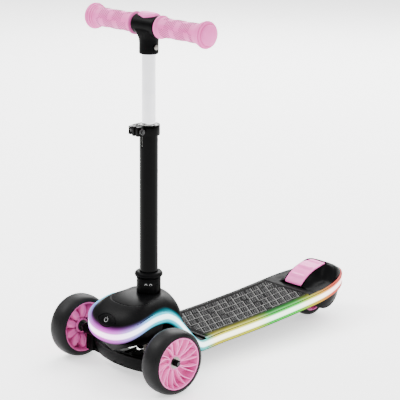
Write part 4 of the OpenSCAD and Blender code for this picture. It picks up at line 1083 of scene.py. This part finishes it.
def grips():
    """Grips with darker beads that paint the shade of dimples, a plain inner flange, stepped rings outside
    and a domed end.
    """
    x0, x1 = grip_low.x, grip_high.x
    core = 17.0
    end = box_mm("end_caps")[1].x
    profile = [(x0, 11.2), (x0, 19.5), (x0 + 0.8, 20.8), (x0 + 3.2, 20.8), (x0 + 4.2, 19.6),
               (x0 + 5.5, core + 0.6), (x0 + 8, core)]
    profile += [(x1 - 20, core), (x1 - 18.4, core + 0.2)]
    for start, radius in ((17.8, 18.2), (13.6, 20.0), (9.4, 22.0)):
        profile += [(x1 - start, radius), (x1 - start + 3.0, radius + 0.5), (x1 - start + 3.5, radius - 0.9)]
    profile += [(x1 - 5.2, 23.4), (x1 - 4.2, 23.9), (x1 - 0.6, 23.9), (x1, 23.2), (x1, 11.2)]
    dome = [(x1 + 0.3, 0.0), (x1 + 0.3, 22.4), (x1 + 1.8, 22.6), (x1 + 2.6, 21.6), (x1 + 2.8, 19.6),
            (x1 + 2.0, 18.9)]
    dome += [(x1 + 3.0 + (end - x1 - 3.1) * math.sin(math.pi / 2 * i / 14),
              18.6 * math.cos(math.pi / 2 * i / 14) ** 0.62) for i in range(0, 15)]
    beads_at, lanes = [], 30
    for ring in range(26):
        x = x0 + 13 + ring * (x1 - x0 - 38) / 25
        for lane in range(lanes):
            a = 2 * math.pi * (lane + 0.5 * (ring % 2)) / lanes
            if (ring // 4 + lane // 5) % 3 != 2:
                beads_at.append((x, column_y + (core - 0.15) * math.cos(a),
                                 bar_z + (core - 0.15) * math.sin(a)))
    centre = (0, column_y, bar_z)
    for side, word in ((1, "left"), (-1, "right")):
        flip = lambda outline: [(side * u, r) for u, r in outline]
        points, faces = turned(flip(profile), centre, "X", 96)
        publish(solid(word + "_grip_moulding", points, faces, GRIP_PINK, 40), "upper_bar",
                [word + "_grip"])
        points, faces = turned(flip(dome), centre, "X", 96)
        publish(solid(word + "_grip_end", points, faces, GRIP_PINK, 50), "upper_bar",
                ["end_caps"] if side > 0 else [])
        # The beads take the darker pink as painted shade of dimples.
        beads = grown(word + "_grip_beads", BEADS, [(side * x, y, z) for x, y, z in beads_at], [], [],
                      {"Radius": 1.0 * MM, "Material": DIMPLE_SHADE_PINK})
        publish(beads, "upper_bar")


def collar_mark():
    """Two small arched marks on the twist collar."""
    low, high = box_mm("lock_collar")
    r, z = 22.55, (low.z + high.z) / 2 + 3
    points, edges = [], []
    for start in (30, 52):
        base = len(points)
        for i in range(7):
            a = math.radians(start + i * 2 - 90)
            points.append((r * math.cos(a), column_y + r * math.sin(a), z + 3 * math.sin(math.pi * i / 6)))
        edges.extend((base + i, base + i + 1) for i in range(6))
    mark = grown("collar_turn_mark", PIPING, points, edges, [],
                 {"Radius": 0.5 * MM, "Sides": 8, "Material": MARK})
    publish(mark, "lock_collar")


# ---------------------------------------------------------------- frame nodes that keep their shape
ROUNDED = [("clamp_collar", 0.8, PAINT, "column", "black_paint"),
           ("clamp_lever", 0.9, PAINT, "clamp_lever", "black_paint"),
           ("lock_collar", 0.7, BLACK, "lock_collar", "black_plastic"),
           ("deck_body", 0.9, BLACK, "chassis", "black_plastic"),
           ("button_bezel", 0.4, BLACK, "chassis", "black_plastic"),
           ("clamp_nut", 0.4, OXIDE, "column", "steel"),
           ("t_screws", 0.5, STEEL, "upper_bar", "steel"),
           ("rear_nuts", 0.5, STEEL, "chassis", "steel"),
           ("axle_nuts", 0.8, PAINT, "truck", "black_paint")]
FINISHES = {"housing_base": BLACK, "column_socket": BLACK, "button_spring": STEEL, "light_boards": BOARD,
            "control_board": BOARD, "housing_screws": STEEL, "deck_bottom": BLACK, "battery_pack": WRAP,
            "battery_door": BLACK, "deck_screws": STEEL, "brake_pin": OXIDE, "brake_spring": STEEL,
            "brake_shoe": TYRE, "rear_axle": STEEL, "rear_bearings": STEEL, "pivot_pin": STEEL,
            "pivot_nut": STEEL, "axle_beam": BLACK, "left_axle": OXIDE, "right_axle": OXIDE,
            "left_bearings": STEEL, "right_bearings": STEEL, "outer_tube": PAINT, "tube_flange": BLACK,
            "guide_bush": NYLON, "clamp_bolt": OXIDE, "clamp_pin": OXIDE, "inner_tube": CHROME,
            "bar_tube": CHROME}


def finish_frame_nodes():
    for node, bevel, material, body, slot in ROUNDED:
        finished(node, bevel, material, body)
    for node, material in FINISHES.items():
        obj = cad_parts[node]
        obj.data.materials.clear()
        obj.data.materials.append(material)


# ---------------------------------------------------------------- studio
def camera():
    data = bpy.data.cameras.new("camera")
    data.lens, data.sensor_width = 137.83, 36
    data.shift_x, data.shift_y = -0.0004, 0.0011
    data.dof.use_dof = False
    obj = bpy.data.objects.new("camera", data)
    bpy.context.scene.collection.objects.link(obj)
    azimuth, elevation = math.radians(46.763), math.radians(15.117)
    back = Vector((math.sin(azimuth) * math.cos(elevation), -math.cos(azimuth) * math.cos(elevation),
                   math.sin(elevation)))
    obj.location = (2.027107, -1.974973, 1.048332)
    level = (-back).to_track_quat("-Z", "Y").to_matrix()
    obj.rotation_euler = (level @ Matrix.Rotation(math.radians(0.55), 3, "Z")).to_euler()
    bpy.context.scene.camera = obj


def soft_light(name, place, size, power):
    data = bpy.data.lights.new(name, "AREA")
    data.shape, data.size, data.energy = "SQUARE", size, power
    obj = bpy.data.objects.new(name, data)
    obj.location = place
    obj.rotation_euler = (Vector((0, 0, 0.3)) - Vector(place)).to_track_quat("-Z", "Y").to_euler()
    bpy.context.scene.collection.objects.link(obj)


def studio():
    """Pale floor, a sky that is brighter overhead than at the horizon, and three soft lights."""
    mat, tree, shader = blank("pale_floor")
    tree.links.new(spread(tree, noise(tree, 3).outputs["Fac"], 0.85, 0.95), shader.inputs["Roughness"])
    shader.inputs["Base Color"].default_value = (0.93, 0.93, 0.93, 1)
    shader.inputs["Emission Color"].default_value = (1, 1, 1, 1)
    shader.inputs["Emission Strength"].default_value = 1.0
    shader.inputs["Specular IOR Level"].default_value = 0.1
    mesh = bpy.data.meshes.new("floor")
    reach = 14
    corners = [(-reach, -reach, 0), (reach, -reach, 0), (reach, reach, 0), (-reach, reach, 0)]
    mesh.from_pydata(corners, [], [(0, 1, 2, 3)])
    floor = link("floor", mesh, mat)
    world = bpy.data.worlds.new("studio")
    world.use_nodes = True
    tree = world.node_tree
    where, split = tree.nodes.new("ShaderNodeTexCoord"), tree.nodes.new("ShaderNodeSeparateXYZ")
    tree.links.new(where.outputs["Generated"], split.inputs[0])
    sky = grey_ramp(tree, split.outputs["Z"], [(0.0, 0.10), (0.30, 0.16), (0.62, 1.0), (1.0, 1.0)])
    tree.links.new(sky, tree.nodes["Background"].inputs["Color"])
    tree.nodes["Background"].inputs["Strength"].default_value = 2.6
    bpy.context.scene.world = world
    soft_light("key", (-1.6, -1.2, 2.4), 1.2, 70)
    soft_light("side", (2.2, 0.6, 1.6), 1.0, 34)
    soft_light("back", (-1.8, 2.6, 2.6), 3.4, 330)


camera()
studio()
finish_frame_nodes()
housing_shell()
mode_button()
light_strip()
wheels()
beam_cover()
coil_springs()
grip_mat()
mat_pattern()
pedal()
hump()
tail_walls()
t_housing()
top_cover()
grips()
collar_mark()
